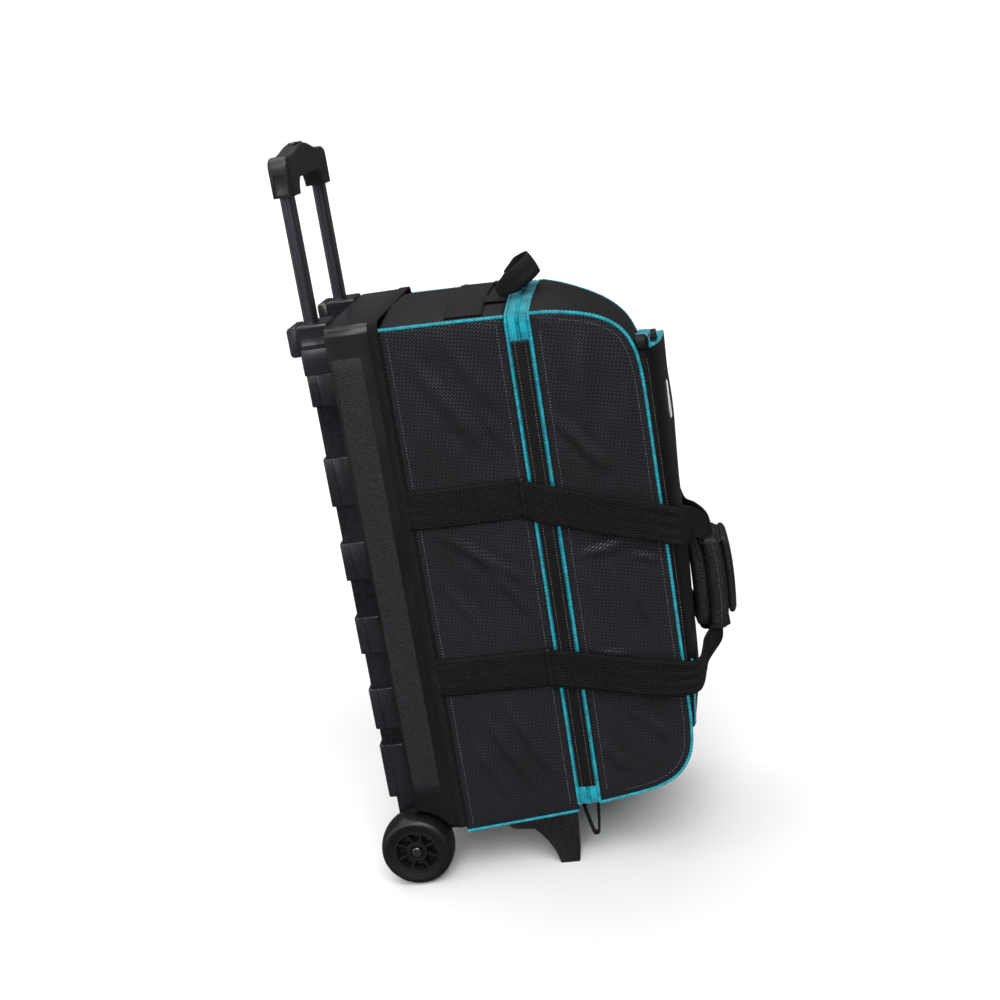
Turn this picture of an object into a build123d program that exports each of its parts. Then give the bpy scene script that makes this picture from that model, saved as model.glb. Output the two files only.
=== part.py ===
from build123d import *
import math
import os

# Wheeled bag for three bowling balls, standing upright on its wheel end.
# Frame: +Z up, X across the width (left side is -X), the pocket front faces -Y
# and the tray with the pull handle is at +Y. The origin is on the ground, under
# the middle of the overall depth and width. Millimetres.

# ---- driving dimensions ----
DEPTH = 500.0              # back of the wheels to front of the hand wrap
BACK = DEPTH / 2
FRONT = -DEPTH / 2
HALF_W = 135.0             # half width of tray and fabric body
TRAY_LOW = 68.0
TRAY_TOP = 737.0
TRAY_BACK = BACK - 53.0
LIP_BACK = BACK - 3.0
TRAY_FRONT = TRAY_BACK - 52.0
TRAY_WALL = 3.0
TRAY_CORNER = 12.0

WHEEL_R = 48.0
WHEEL_OUT = 150.0          # outer face of a wheel from the middle
WHEEL_W = 42.0
AXLE_Y = BACK - WHEEL_R
AXLE_Z = WHEEL_R
AXLE_R = 4.0
WELL_R = 54.0

BINDING_W = 12.0
SHELL_BACK = TRAY_FRONT - BINDING_W
SHELL_WALL = 5.0
ZIP_REAR = -17.5           # rear edge of the zip band
ZIP_MID = -29.5            # line of the teeth
ZIP_FRONT = -41.5
PIPE_W = 3.0
PIPE_OUT = 2.0
FACE_LOW = (-170.5, 180.0)
FACE_HIGH = (-165.5, 640.0)

TUBE_X = 88.0              # handle tube centres from the middle
TUBE_Y = BACK - 30.0
TUBE_W, TUBE_T = 25.0, 14.0
CHANNEL_W, CHANNEL_T = 36.0, 32.0
CHANNEL_Y = TRAY_BACK + 2.0 + CHANNEL_T / 2
CHANNEL_LOW, CHANNEL_TOP = 111.0, 712.0
CLIP_OUT = 4.0
CLIP_SPANS = [(111, 186), (210, 266), (316, 365), (416, 465), (514, 575), (641, 680)]
TUBE_LOW, TUBE_TOP = 560.0, 906.0
GRIP_LOW, GRIP_TOP = 890.0, 946.0

LOOP_HINGE_X, LOOP_HINGE_Y = -139.0, -21.5
LID_HINGE_X = 139.0
WEB_T = 3.0
WRAP_LOW, WRAP_HIGH = 262.0, 392.0
HANDLE_Y, HANDLE_Z = -3.5, 741.0   # line on which the top handle flops
POCKET_LOW, POCKET_TOP = 178.0, 668.0
POCKET_BEND = 547.0
POCKET_FACE_Y = -192.5
POCKET_HALF_W = 130.0
POCKET_WALL = 2.5
POCKET_CORNER = 24.0       # rounded upright corners, so the lid swings clear of the strap
POCKET_ZIP_Y = -182.0
FOLD_GAP = 0.3             # clearance each side of a fold line

MADE = {}


def block(x0, x1, y0, y1, z0, z1):
    """Box between two corners."""
    low = (min(x0, x1), min(y0, y1), min(z0, z1))
    high = (max(x0, x1), max(y0, y1), max(z0, z1))
    size = [b - a for a, b in zip(low, high)]
    middle = [(a + b) / 2 for a, b in zip(low, high)]
    return Pos(*middle) * Box(*size)


def side_prism(points, x0, x1):
    """Closed YZ outline swept along X."""
    face = make_face(Polyline(*[(0, y, z) for y, z in points], close=True))
    solid = extrude(face, amount=x1 - x0, dir=(1, 0, 0))
    return Pos(x0, 0, 0) * solid


def rod_x(y, z, radius, x0, x1):
    """Cylinder along X."""
    return Pos((x0 + x1) / 2, y, z) * Rot(0, 90, 0) * Cylinder(radius, abs(x1 - x0))


def rounded_column(x, y, width, thick, radius, z0, z1):
    """Upright bar of rounded rectangular section."""
    section = Pos(x, y, z0) * RectangleRounded(width, thick, radius)
    return extrude(section, amount=z1 - z0)


def mirrored(shape):
    """The same piece on the other side of the bag."""
    return mirror(shape, about=Plane.YZ)


def keep(name, shape):
    MADE[name] = shape


def pair(stem, shape):
    """Left piece and its mirror image."""
    keep(stem + "_left", shape)
    keep(stem + "_right", mirrored(shape))


# ---- fabric body envelope ----
def side_outline(grow):
    """YZ outline of the fabric body, seen from the side, moved out by grow."""
    rear = TRAY_FRONT + 20
    top = Line((0, rear, 741 + grow), (0, -51.5, 730 + grow))
    crown = ThreePointArc(
        (0, -51.5, 730 + grow),
        (0, -133.5 - 0.7 * grow, 702 + 0.7 * grow),
        (0, FACE_HIGH[0] - grow, FACE_HIGH[1]),
    )
    face = Line((0, FACE_HIGH[0] - grow, FACE_HIGH[1]), (0, FACE_LOW[0] - grow, FACE_LOW[1]))
    toe = ThreePointArc(
        (0, FACE_LOW[0] - grow, FACE_LOW[1]),
        (0, -147.5 - 0.7 * grow, 120 - 0.7 * grow),
        (0, -99.5, 98 - grow),
    )
    floor = Line((0, -99.5, 98 - grow), (0, rear, 64 - grow))
    back = Line((0, rear, 64 - grow), (0, rear, 741 + grow))
    return make_face([top, crown, face, toe, floor, back])


def crown_outline(grow):
    """XZ outline of the fabric body, seen from the front, moved out by grow."""
    half = HALF_W + grow
    low = 40.0
    pieces = [
        Line((-half, 0, low), (-half, 0, 713)),
        ThreePointArc((-half, 0, 713), (-half + 3.5, 0, 722 + grow * 0.7), (-half + 11, 0, 725 + grow)),
        ThreePointArc((-half + 11, 0, 725 + grow), (0, 0, 735 + grow), (half - 11, 0, 725 + grow)),
        ThreePointArc((half - 11, 0, 725 + grow), (half - 3.5, 0, 722 + grow * 0.7), (half, 0, 713)),
        Line((half, 0, 713), (half, 0, low)),
        Line((half, 0, low), (-half, 0, low)),
    ]
    return make_face(pieces)


def body_solid(grow):
    """Full fabric body, from the tray to the front face."""
    along_x = Pos(-200, 0, 0) * extrude(side_outline(grow), amount=400, dir=(1, 0, 0))
    along_y = Pos(0, -220, 0) * extrude(crown_outline(grow), amount=420, dir=(0, 1, 0))
    return along_x & along_y


def slab(y0, y1):
    return block(-220, 220, y0, y1, 0, 800)


def ring(y0, y1, out, inward):
    """Band of the fabric body between two planes across its depth."""
    return (body_solid(out) & slab(y0, y1)) - body_solid(-inward)


# ---- tray ----
def tray_block(inset, y0, y1):
    half, low, top = HALF_W - inset, TRAY_LOW + inset, TRAY_TOP - inset
    section = Plane.XZ * Pos(0, (low + top) / 2) * RectangleRounded(2 * half, top - low, TRAY_CORNER - inset)
    return Pos(0, y1, 0) * extrude(section, amount=y1 - y0)


def wheel_wells(radius, inner_x):
    left = rod_x(AXLE_Y, AXLE_Z, radius, -200, -inner_x)
    return left + mirrored(left)


def make_tray():
    well_x = WHEEL_OUT - WHEEL_W - 4
    outer = tray_block(0, TRAY_FRONT, TRAY_BACK) - wheel_wells(WELL_R, well_x)
    hollow = tray_block(TRAY_WALL, TRAY_FRONT - 1, TRAY_BACK - TRAY_WALL)
    hollow = hollow - wheel_wells(WELL_R + TRAY_WALL, well_x - TRAY_WALL)
    keep("tray", outer - hollow)


def make_binding():
    outer = tray_block(-2.5, SHELL_BACK, TRAY_FRONT)
    keep("tray_binding", outer - tray_block(TRAY_WALL + 0.5, SHELL_BACK - 1, TRAY_FRONT + 1))


# ---- pull handle guides ----
def make_channels():
    outer = rounded_column(-TUBE_X, CHANNEL_Y, CHANNEL_W, CHANNEL_T, 6, CHANNEL_LOW, CHANNEL_TOP)
    bore = rounded_column(-TUBE_X, TUBE_Y, TUBE_W + 0.6, TUBE_T + 0.6, 4, CHANNEL_LOW + 6, CHANNEL_TOP + 1)
    pair("handle_channel", outer - bore)


def clip(z0, z1, extra):
    """Plastic clip that holds the channel to the back of the tray."""
    half = CHANNEL_W / 2 + CLIP_OUT + extra
    rear = CHANNEL_Y + CHANNEL_T / 2 + 3 + extra
    body = block(-TUBE_X - half, -TUBE_X + half, TRAY_BACK, rear, z0, z1)
    body = fillet(body.edges().filter_by(Axis.Z).group_by(Axis.Y)[-1], 4)
    hole = rounded_column(-TUBE_X, CHANNEL_Y, CHANNEL_W + 0.2, CHANNEL_T + 0.2, 6.1, z0 - 1, z1 + 1)
    groove = block(-TUBE_X - half - 1, -TUBE_X - half + 1, rear - 15, rear - 12, z0 - 1, z1 + 1)
    body = body - hole
    return body - groove if extra == 0 else body


def make_clips():
    clips = [clip(z0, z1, 0) for z0, z1 in CLIP_SPANS]
    pair("tube_clips", Compound(children=clips))
    bracket = clip(CLIP_SPANS[-1][1] + 0.2, CHANNEL_TOP, 1.5)
    keep("top_brackets", Compound(children=[bracket, mirrored(bracket)]))


def make_tube_caps():
    body = block(-TUBE_X - 25, -TUBE_X + 25, TRAY_BACK + 0.2, TRAY_BACK + 37, CHANNEL_TOP + 0.2, 741)
    body = fillet(body.edges().group_by(Axis.Z)[-1], 3)
    lip = block(-TUBE_X - 22, -TUBE_X + 22, TRAY_BACK + 38.5, LIP_BACK, 704, 740)
    lip = fillet(lip.edges().filter_by(Axis.X).group_by(Axis.Y)[-1], 5)
    neck = block(-TUBE_X - 16, -TUBE_X + 16, TRAY_BACK + 30, LIP_BACK - 4, 716, 736)
    bore = rounded_column(-TUBE_X, TUBE_Y, TUBE_W + 0.8, TUBE_T + 0.8, 4, 700, 760)
    panel = block(-TUBE_X - 26, -TUBE_X - 24, TRAY_BACK + 6, TRAY_BACK + 34, 717, 736)
    pair("tube_cap", body + lip + neck - bore - panel)


# ---- telescopic handle ----
def make_handle_tubes():
    outer = rounded_column(-TUBE_X, TUBE_Y, TUBE_W, TUBE_T, 4, TUBE_LOW, TUBE_TOP)
    inner = rounded_column(-TUBE_X, TUBE_Y, TUBE_W - 2.4, TUBE_T - 2.4, 3, TUBE_LOW - 1, TUBE_TOP + 1)
    pair("handle_tube", outer - inner)
    plug = rounded_column(-TUBE_X, TUBE_Y, TUBE_W + 0.2, TUBE_T + 0.2, 4, TUBE_LOW - 30, TUBE_LOW)
    keep("tube_sliders", Compound(children=[plug, mirrored(plug)]))


def grip_outline():
    """Front outline of the grip: two legs, and a bar with a raised palm swell."""
    out, inn, shoulder = TUBE_X + 20, TUBE_X - 24, 936
    under = 908
    edges = [
        Line((-out, 0, GRIP_LOW), (-out, 0, shoulder - 14)),
        ThreePointArc((-out, 0, shoulder - 14), (-out + 4, 0, shoulder - 4), (-out + 14, 0, shoulder)),
        Spline((-out + 14, 0, shoulder), (-45, 0, 939.5), (0, 0, GRIP_TOP), (45, 0, 939.5), (out - 14, 0, shoulder)),
        ThreePointArc((out - 14, 0, shoulder), (out - 4, 0, shoulder - 4), (out, 0, shoulder - 14)),
        Line((out, 0, shoulder - 14), (out, 0, GRIP_LOW)),
        Line((out, 0, GRIP_LOW), (inn, 0, GRIP_LOW)),
        ThreePointArc((inn, 0, GRIP_LOW), (inn - 6, 0, under - 6), (inn - 20, 0, under)),
        Line((inn - 20, 0, under), (-inn + 20, 0, under)),
        ThreePointArc((-inn + 20, 0, under), (-inn + 6, 0, under - 6), (-inn, 0, GRIP_LOW)),
        Line((-inn, 0, GRIP_LOW), (-out, 0, GRIP_LOW)),
    ]
    return make_face(edges)


def make_grip():
    thick = 25.0
    grip = Pos(0, TUBE_Y - thick / 2, 0) * extrude(grip_outline(), amount=thick, dir=(0, 1, 0))
    long_edges = grip.edges().filter_by(lambda e: abs(e.center().Y - TUBE_Y) > thick / 2 - 0.1)
    grip = fillet(long_edges.filter_by(lambda e: e.center().Z > GRIP_LOW + 1), 5)
    socket = rounded_column(-TUBE_X, TUBE_Y, TUBE_W + 0.2, TUBE_T + 0.2, 4.1, GRIP_LOW - 1, TUBE_TOP + 0.2)
    bar_channel = block(-TUBE_X - 5, TUBE_X + 5, TUBE_Y - 4, TUBE_Y + 4, TUBE_TOP, 926)
    well = rounded_column(0, TUBE_Y, 38, 13, 6, 920, 960)
    panel = block(-TUBE_X - 21, -TUBE_X - 19, TUBE_Y - 7, TUBE_Y + 7, GRIP_LOW + 4, 916)
    grip = grip - socket - mirrored(socket) - bar_channel - well - panel - mirrored(panel)
    keep("grip", grip)


def make_button():
    button = rounded_column(0, TUBE_Y, 37, 12, 5.5, 925, 947.5)
    keep("release_button", fillet(button.edges().group_by(Axis.Z)[-1], 1.5))
    bar = block(-TUBE_X - 2, TUBE_X + 2, TUBE_Y - 2, TUBE_Y + 2, 920.5, 925)
    rod = Pos(-TUBE_X, TUBE_Y, (TUBE_LOW + 6 + 920.5) / 2) * Cylinder(2, 920.5 - TUBE_LOW - 6)
    keep("latch_rods", bar + rod + mirrored(rod))


# ---- wheels ----
def make_wheels():
    inner = WHEEL_OUT - WHEEL_W
    middle = -(WHEEL_OUT + inner) / 2
    edges = [
        Line((-inner - 1, 30.1, 0), (-inner, 40, 0)),
        ThreePointArc((-inner, 40, 0), (-inner - 1, 43, 0), (-inner - 4, 45.5, 0)),
        ThreePointArc((-inner - 4, 45.5, 0), (middle, WHEEL_R, 0), (-WHEEL_OUT + 4, 45.5, 0)),
        ThreePointArc((-WHEEL_OUT + 4, 45.5, 0), (-WHEEL_OUT + 1, 43, 0), (-WHEEL_OUT, 40, 0)),
        Line((-WHEEL_OUT, 40, 0), (-WHEEL_OUT + 2, 30.1, 0)),
        Line((-WHEEL_OUT + 2, 30.1, 0), (-inner - 1, 30.1, 0)),
    ]
    tyre = revolve(make_face(edges), axis=Axis.X)
    pair("tyre", Pos(0, AXLE_Y, AXLE_Z) * tyre)

    rim = rod_x(0, 0, 30, -WHEEL_OUT + 2, -inner - 1) - rod_x(0, 0, 27, -WHEEL_OUT, -inner)
    web = rod_x(0, 0, 27.5, -inner - 22, -inner - 18)
    boss = rod_x(0, 0, 13.5, -WHEEL_OUT + 4, -inner + 1) - rod_x(0, 0, 9.5, -WHEEL_OUT, -WHEEL_OUT + 7)
    rim = rim + web + boss
    for step in range(8):
        spoke = block(-WHEEL_OUT + 7, -inner - 20, 12.5, 27.5, -1.5, 1.5)
        rim = rim + Rot(22.5 + 45 * step, 0, 0) * spoke
    rim = rim - rod_x(0, 0, AXLE_R + 0.05, -WHEEL_OUT - 1, 0)
    pair("wheel_rim", Pos(0, AXLE_Y, AXLE_Z) * rim)


def make_axle():
    end = WHEEL_OUT - 6
    keep("axle", rod_x(AXLE_Y, AXLE_Z, AXLE_R, -end, end))
    cap = rod_x(AXLE_Y, AXLE_Z, 6.5, -end - 4, -end + 1) - rod_x(AXLE_Y, AXLE_Z, AXLE_R, -end, 0)
    cap = fillet(cap.edges().group_by(Axis.X)[0], 1.5)
    keep("axle_caps", Compound(children=[cap, mirrored(cap)]))
    inner = -(WHEEL_OUT - WHEEL_W - 3)
    barrel = rod_x(AXLE_Y, AXLE_Z, 15, inner, inner + 42)
    post = block(inner, inner + 42, TRAY_BACK + 0.3, TRAY_BACK + 28, AXLE_Z, CHANNEL_LOW - 1)
    plate = block(inner, inner + 42, TRAY_FRONT + 0.3, TRAY_BACK + 1, 55, TRAY_LOW - 0.2)
    toe = block(inner, inner + 42, SHELL_BACK - 1, TRAY_FRONT + 1, 55, TRAY_LOW - 3)
    housing = barrel + post + plate + toe - rod_x(AXLE_Y, AXLE_Z, AXLE_R + 0.05, -200, 0)
    pair("wheel_housing", housing)


# ---- rear fabric half, base and feet ----
def make_rear_shell():
    keep("rear_shell", ring(ZIP_REAR + PIPE_W, SHELL_BACK, 0, SHELL_WALL))
    keep("zip_piping_rear", ring(ZIP_REAR, ZIP_REAR + PIPE_W - 0.1, PIPE_OUT, 1))
    tape = ring(ZIP_MID + 1.6, ZIP_REAR - 0.1, 0, 2.5)
    coil = ring(ZIP_MID + 0.4, ZIP_MID + 1.5, 0.6, 2)
    keep("zip_tape_rear", Compound(children=[tape, coil]))


def make_base():
    slope = math.degrees(math.atan2(98 - 64, TRAY_FRONT + 20 + 99.5))
    y_mid, length, thick = 52.5, 132.0, 4.0
    z_mid = 64 + (TRAY_FRONT + 20 - y_mid) * math.tan(math.radians(slope))
    board = Box(244, length, thick)
    board = fillet(board.edges().filter_by(Axis.Z), 14)
    keep("base_board", Pos(0, y_mid, z_mid - thick / 2 - 0.4) * Rot(-slope, 0, 0) * board)


def make_feet():
    """Stand feet under the base: a flange, and a leg with a hollowed rear edge."""
    edges = [
        Line((0, 20.5, 0), (0, -4.5, 0)),
        Line((0, -4.5, 0), (0, -9.5, 74.5)),
        Line((0, -9.5, 74.5), (0, 82.5, 63.6)),
        Line((0, 82.5, 63.6), (0, 74.5, 55)),
        Line((0, 74.5, 55), (0, 48.5, 53)),
        ThreePointArc((0, 48.5, 53), (0, 31.5, 31), (0, 20.5, 0)),
    ]
    foot = Pos(-124, 0, 0) * extrude(make_face(edges), amount=34, dir=(1, 0, 0))
    foot = fillet(foot.edges().filter_by(lambda e: 0.1 < e.center().Z < 60), 1.5)
    pair("stand_foot", foot)


def make_zip_flap():
    """Strip over the near side of the zip, sewn along its rear edge."""
    flap = block(-138.4, -HALF_W - 0.9, ZIP_FRONT + 1, ZIP_REAR - 0.5, 122, 690)
    keep("zip_flap", flap)


def make_top_trim():
    lift = 0.3
    band = (body_solid(2.3) & block(-122, 122, 10.5, 56.5, 600, 800)) - body_solid(lift)
    keep("top_patch", band)
    tab = (body_solid(4.5) & block(-78, -54, -12, 10, 600, 800)) - body_solid(lift)
    keep("handle_tabs", Compound(children=[tab, mirrored(tab)]))


# ---- ball cups ----
def make_ball_cups():
    ball = 216.0
    back = TRAY_BACK - TRAY_WALL
    for index, name in enumerate(["bottom", "middle", "top"]):
        centre = 78 + ball * (index + 0.5)
        cup = block(-106, 106, back - 42, back, centre - 104, centre + 104)
        cup = fillet(cup.edges().filter_by(Axis.Y), 24)
        seat = Pos(0, back - 13 - 111, centre) * Sphere(111)
        cup = cup - seat
        keep("ball_cup_" + name, cup - wheel_wells(WELL_R + 5, 90))


# ---- carry straps ----
def strap_path():
    """Plan path of a free carry strap, from its side seam to the hand wrap."""
    start = (LOOP_HINGE_X - 0.4 - WEB_T / 2, LOOP_HINGE_Y - 1)
    side = Line(start, (-147, -110))
    turn = Spline((-147, -110), (-148.3, -152), (-141, -183), (-104, -206), tangents=((-0.03, -1), (0.9, -0.4)))
    front = Line((-104, -206), (-28, -231.5))
    hand = Line((-28, -231.5), (-2, -232.5))
    return side, turn, front, hand


def strap_side_view():
    """Side view of the strap loop: upper and lower runs joined by the hand part."""
    outer = [(-10, 525), (-167, 481), (-202, 462), (-238, 425), (-238, 238), (-202, 229), (-167, 232), (-10, 258)]
    inner = [(-5, 475), (-167, 430), (-202, 414), (-231.2, 395), (-231.2, 259), (-202, 265), (-167, 281), (-5, 310)]
    return side_prism(outer, -170, 0) - side_prism(inner, -171, 1)


def free_strap():
    wall = None
    for edge in strap_path():
        band = extrude(trace(edge, WEB_T), amount=340)
        wall = band if wall is None else wall + band
    return (Pos(0, 0, 210) * wall) & strap_side_view()


def make_carry_loops():
    strap = free_strap()
    keep("carry_strap_left", strap)
    far = mirrored(strap) & block(0, 200, FRONT, ZIP_MID - 2.5, 0, 800)
    keep("carry_strap_right", far)
    pad = block(-36.5, -0.6, -244.5, -220.5, WRAP_LOW, WRAP_HIGH)
    pad = fillet(pad.edges().filter_by(Axis.Z).group_by(Axis.X)[0], 6)
    pad = pad - block(-34, 0, -236, -228, WRAP_LOW - 1, WRAP_HIGH + 1)
    pair("wrap_pad", pad)
    keep("wrap_flap", block(-24, 36.5, FRONT, -245.5, WRAP_LOW + 5, WRAP_HIGH - 5))


def make_sewn_straps():
    spans = [(258, 308), (476, 526)]
    straps = [block(-138, -HALF_W - 0.2, ZIP_REAR + 4, SHELL_BACK, low, high) for low, high in spans]
    pair("sewn_straps", Compound(children=straps))


# ---- lid half ----
def make_lid():
    shell = (body_solid(0) & slab(-200, ZIP_FRONT - PIPE_W)) - (body_solid(-SHELL_WALL) & slab(-200, ZIP_FRONT + 1))
    keep("lid_shell", shell)
    keep("zip_piping_front", ring(ZIP_FRONT - PIPE_W + 0.1, ZIP_FRONT, PIPE_OUT, 1))
    tape = ring(ZIP_FRONT + 0.1, ZIP_MID - 1.6, 0, 2.5)
    coil = ring(ZIP_MID - 1.5, ZIP_MID - 0.4, 0.6, 2)
    keep("zip_tape_front", Compound(children=[tape, coil]))
    rim = (body_solid(PIPE_OUT) - body_solid(0.05)) & slab(-200, ZIP_FRONT - PIPE_W)
    piping = rim & block(-HALF_W, -HALF_W + PIPE_W, -200, 0, 0, 713)
    keep("lid_piping", Compound(children=[piping, mirrored(piping)]))


def pocket_outline():
    """YZ outline of the shoe pocket, which thins to almost nothing at its foot."""
    back = FACE_LOW[0] - 0.6
    return [
        (back, POCKET_LOW),
        (-174, POCKET_LOW),
        (-184.5, 350),
        (POCKET_FACE_Y, POCKET_BEND),
        (POCKET_FACE_Y - 1, POCKET_TOP),
        (back + 4.2, POCKET_TOP),
    ]


def pocket_inside():
    """YZ outline of the room in the shoe pocket, open at the top."""
    low = POCKET_LOW + 40
    return [(-165, low), (-173.5, low), (-182, 350), (-190, POCKET_BEND), (-191, 700), (-161, 700)]


def pocket_column(inset):
    """Upright column with the plan shape of the pocket, rounded at its front corners."""
    deep, front = 120.0, POCKET_FACE_Y - 1 + inset
    width = 2 * (POCKET_HALF_W - inset)
    return rounded_column(0, front + deep / 2, width, deep, POCKET_CORNER - inset, 0, POCKET_TOP + 50)


def make_pocket():
    """Shoe pocket on the front: lower pouch, and a mouth panel that folds out."""
    half = POCKET_HALF_W
    whole = (side_prism(pocket_outline(), -half, half) & pocket_column(0)) - body_solid(0.3)
    pouch = whole - (side_prism(pocket_inside(), -half, half) & pocket_column(POCKET_WALL))
    keep("shoe_pocket", pouch & block(-half, half, -220, -100, 0, POCKET_BEND - FOLD_GAP))
    tape_low = POCKET_TOP - 8.5
    keep("pocket_mouth", pouch & block(-half, half, -220, -170.5, POCKET_BEND + FOLD_GAP, tape_low - 0.5))

    front_tape = block(-half, half, POCKET_FACE_Y - 0.8, POCKET_ZIP_Y, tape_low, POCKET_TOP)
    under_tape = block(-half + 3, half - 3, POCKET_ZIP_Y - 8, 0, 0, POCKET_TOP - 3)
    keep("pocket_zip_front", (front_tape & pocket_column(0.2)) - under_tape)
    back_tape = block(-half, half, POCKET_ZIP_Y + 0.6, -171.3, POCKET_TOP - 3, POCKET_TOP)
    keep("pocket_zip_back", (back_tape & pocket_column(0.2)) - body_solid(0.3))
    make_pocket_slider()


def make_pocket_slider():
    """Slider of the closed pocket zip at its left end, and the pull tab lying on it."""
    top = POCKET_TOP + 4.5
    slider = block(-114, -100, POCKET_ZIP_Y - 4, POCKET_ZIP_Y + 4.5, POCKET_TOP + 1, top)
    keep("pocket_slider", fillet(slider.edges().filter_by(Axis.Z), 2))
    pull = block(-103.6, -75, POCKET_ZIP_Y - 3.5, POCKET_ZIP_Y + 3.5, top + 0.4, top + 2)
    keep("pocket_pull", fillet(pull.edges().filter_by(Axis.Z), 2))


# ---- top handle, sliders, pull loop ----
def make_top_handle():
    lean, height, width = 63.0, 48.0, 28.0
    arch = [(-68, 1.5), (-58, 28), (-32, 43), (0, height), (32, 43), (58, 28), (68, 1.5)]
    line = Spline(*arch)
    band = extrude(trace(line, WEB_T), amount=width)
    band = Pos(0, width / 2, 0) * Rot(90, 0, 0) * band
    half = width / 2
    taper = side_prism([(-4, 1.5), (4, 1.5), (half, 26), (half, 60), (-half, 60), (-half, 26)], -80, 80)
    keep("top_handle", Pos(0, HANDLE_Y, HANDLE_Z) * Rot(lean, 0, 0) * (band & taper))


def make_main_sliders():
    body = block(-17, -5, ZIP_MID - 5, ZIP_MID + 5, 736.6, 741)
    pair("zip_slider", fillet(body.edges().filter_by(Axis.Z), 2))
    tab = block(-36, -15, ZIP_MID - 4, ZIP_MID + 4, 741.4, 743.2)
    pair("zip_pull", fillet(tab.edges().filter_by(Axis.Z), 2))


def make_pull_loop():
    anchor = block(-110, -96, ZIP_MID + 1.7, ZIP_REAR - 0.4, 79.5, 95) - body_solid(0.02)
    keep("pull_loop_anchor", anchor + block(-110, -96, -34, ZIP_REAR - 0.4, 79.5, 83))
    outline = [(-16, 78), (-40, 78), (-37.5, 60), (-31, 27), (-25, 27), (-18.5, 60)]
    hole = [(-20.5, 74), (-35.5, 74), (-33.5, 62), (-30, 50), (-26, 50), (-22.5, 62)]
    keep("pull_loop", side_prism(outline, -104.5, -101.5) - side_prism(hole, -106, -100))


BUILDERS = [
    make_tray, make_binding, make_channels, make_clips, make_tube_caps,
    make_handle_tubes, make_grip, make_button, make_wheels, make_axle,
    make_rear_shell, make_base, make_feet, make_zip_flap, make_top_trim,
    make_ball_cups, make_carry_loops, make_sewn_straps, make_lid, make_pocket,
    make_top_handle, make_main_sliders, make_pull_loop,
]


def main():
    os.makedirs("parts", exist_ok=True)
    for build in BUILDERS:
        build()
    for name, shape in MADE.items():
        export_step(shape, f"parts/{name}.step")
    whole = Compound(children=[s for s in MADE.values()])
    print(len(MADE), "nodes", whole.bounding_box())


main()
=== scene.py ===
"""Looks of a wheeled bag for three bowling balls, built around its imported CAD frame.

Shapes are worked out in millimetres and become metres where a mesh is made.
Left is -X, the side with the zip. Front is -Y, the side with the shoe pocket.
"""
import math

import bmesh
import bpy
import numpy as np
from mathutils import Matrix, Vector, noise


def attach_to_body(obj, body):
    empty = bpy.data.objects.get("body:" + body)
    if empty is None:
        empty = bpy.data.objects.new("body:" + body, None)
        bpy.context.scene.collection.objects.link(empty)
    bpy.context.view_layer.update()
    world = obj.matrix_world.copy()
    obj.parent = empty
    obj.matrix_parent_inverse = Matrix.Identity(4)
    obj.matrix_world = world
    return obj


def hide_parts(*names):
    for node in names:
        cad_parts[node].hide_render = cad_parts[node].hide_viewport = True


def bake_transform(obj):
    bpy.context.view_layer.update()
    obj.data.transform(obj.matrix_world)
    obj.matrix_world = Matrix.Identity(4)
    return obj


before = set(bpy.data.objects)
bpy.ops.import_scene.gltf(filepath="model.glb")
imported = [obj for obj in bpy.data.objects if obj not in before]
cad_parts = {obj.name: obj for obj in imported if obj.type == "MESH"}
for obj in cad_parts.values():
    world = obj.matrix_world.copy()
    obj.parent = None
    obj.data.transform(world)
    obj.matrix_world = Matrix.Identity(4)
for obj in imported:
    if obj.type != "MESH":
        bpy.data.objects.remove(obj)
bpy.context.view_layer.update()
scene = bpy.context.scene

MM = 0.001
SIDE = 135.0               # half width of the fabric body
PIPE_REAR_Y, PIPE_FRONT_Y = -16.0, -43.0
ZIP_MID = -29.5
BINDING_FRONT = 133.0
PANEL_REAR_Y = -14.5
REAR_DEPTH = BINDING_FRONT - PANEL_REAR_Y
GUSSET_HALF = 134
ROPE_STEP, ROPE_R = 1.5, 2.1
STITCH_PITCH = 3.6
POCKET_HALF, POCKET_LOW, POCKET_TOP = 130.0, 179.0, 664.0
LID_SAG, POCKET_SAG = 31.0, 29.0
BADGE_X, BADGE_Z = -80.0, 589.0


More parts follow.
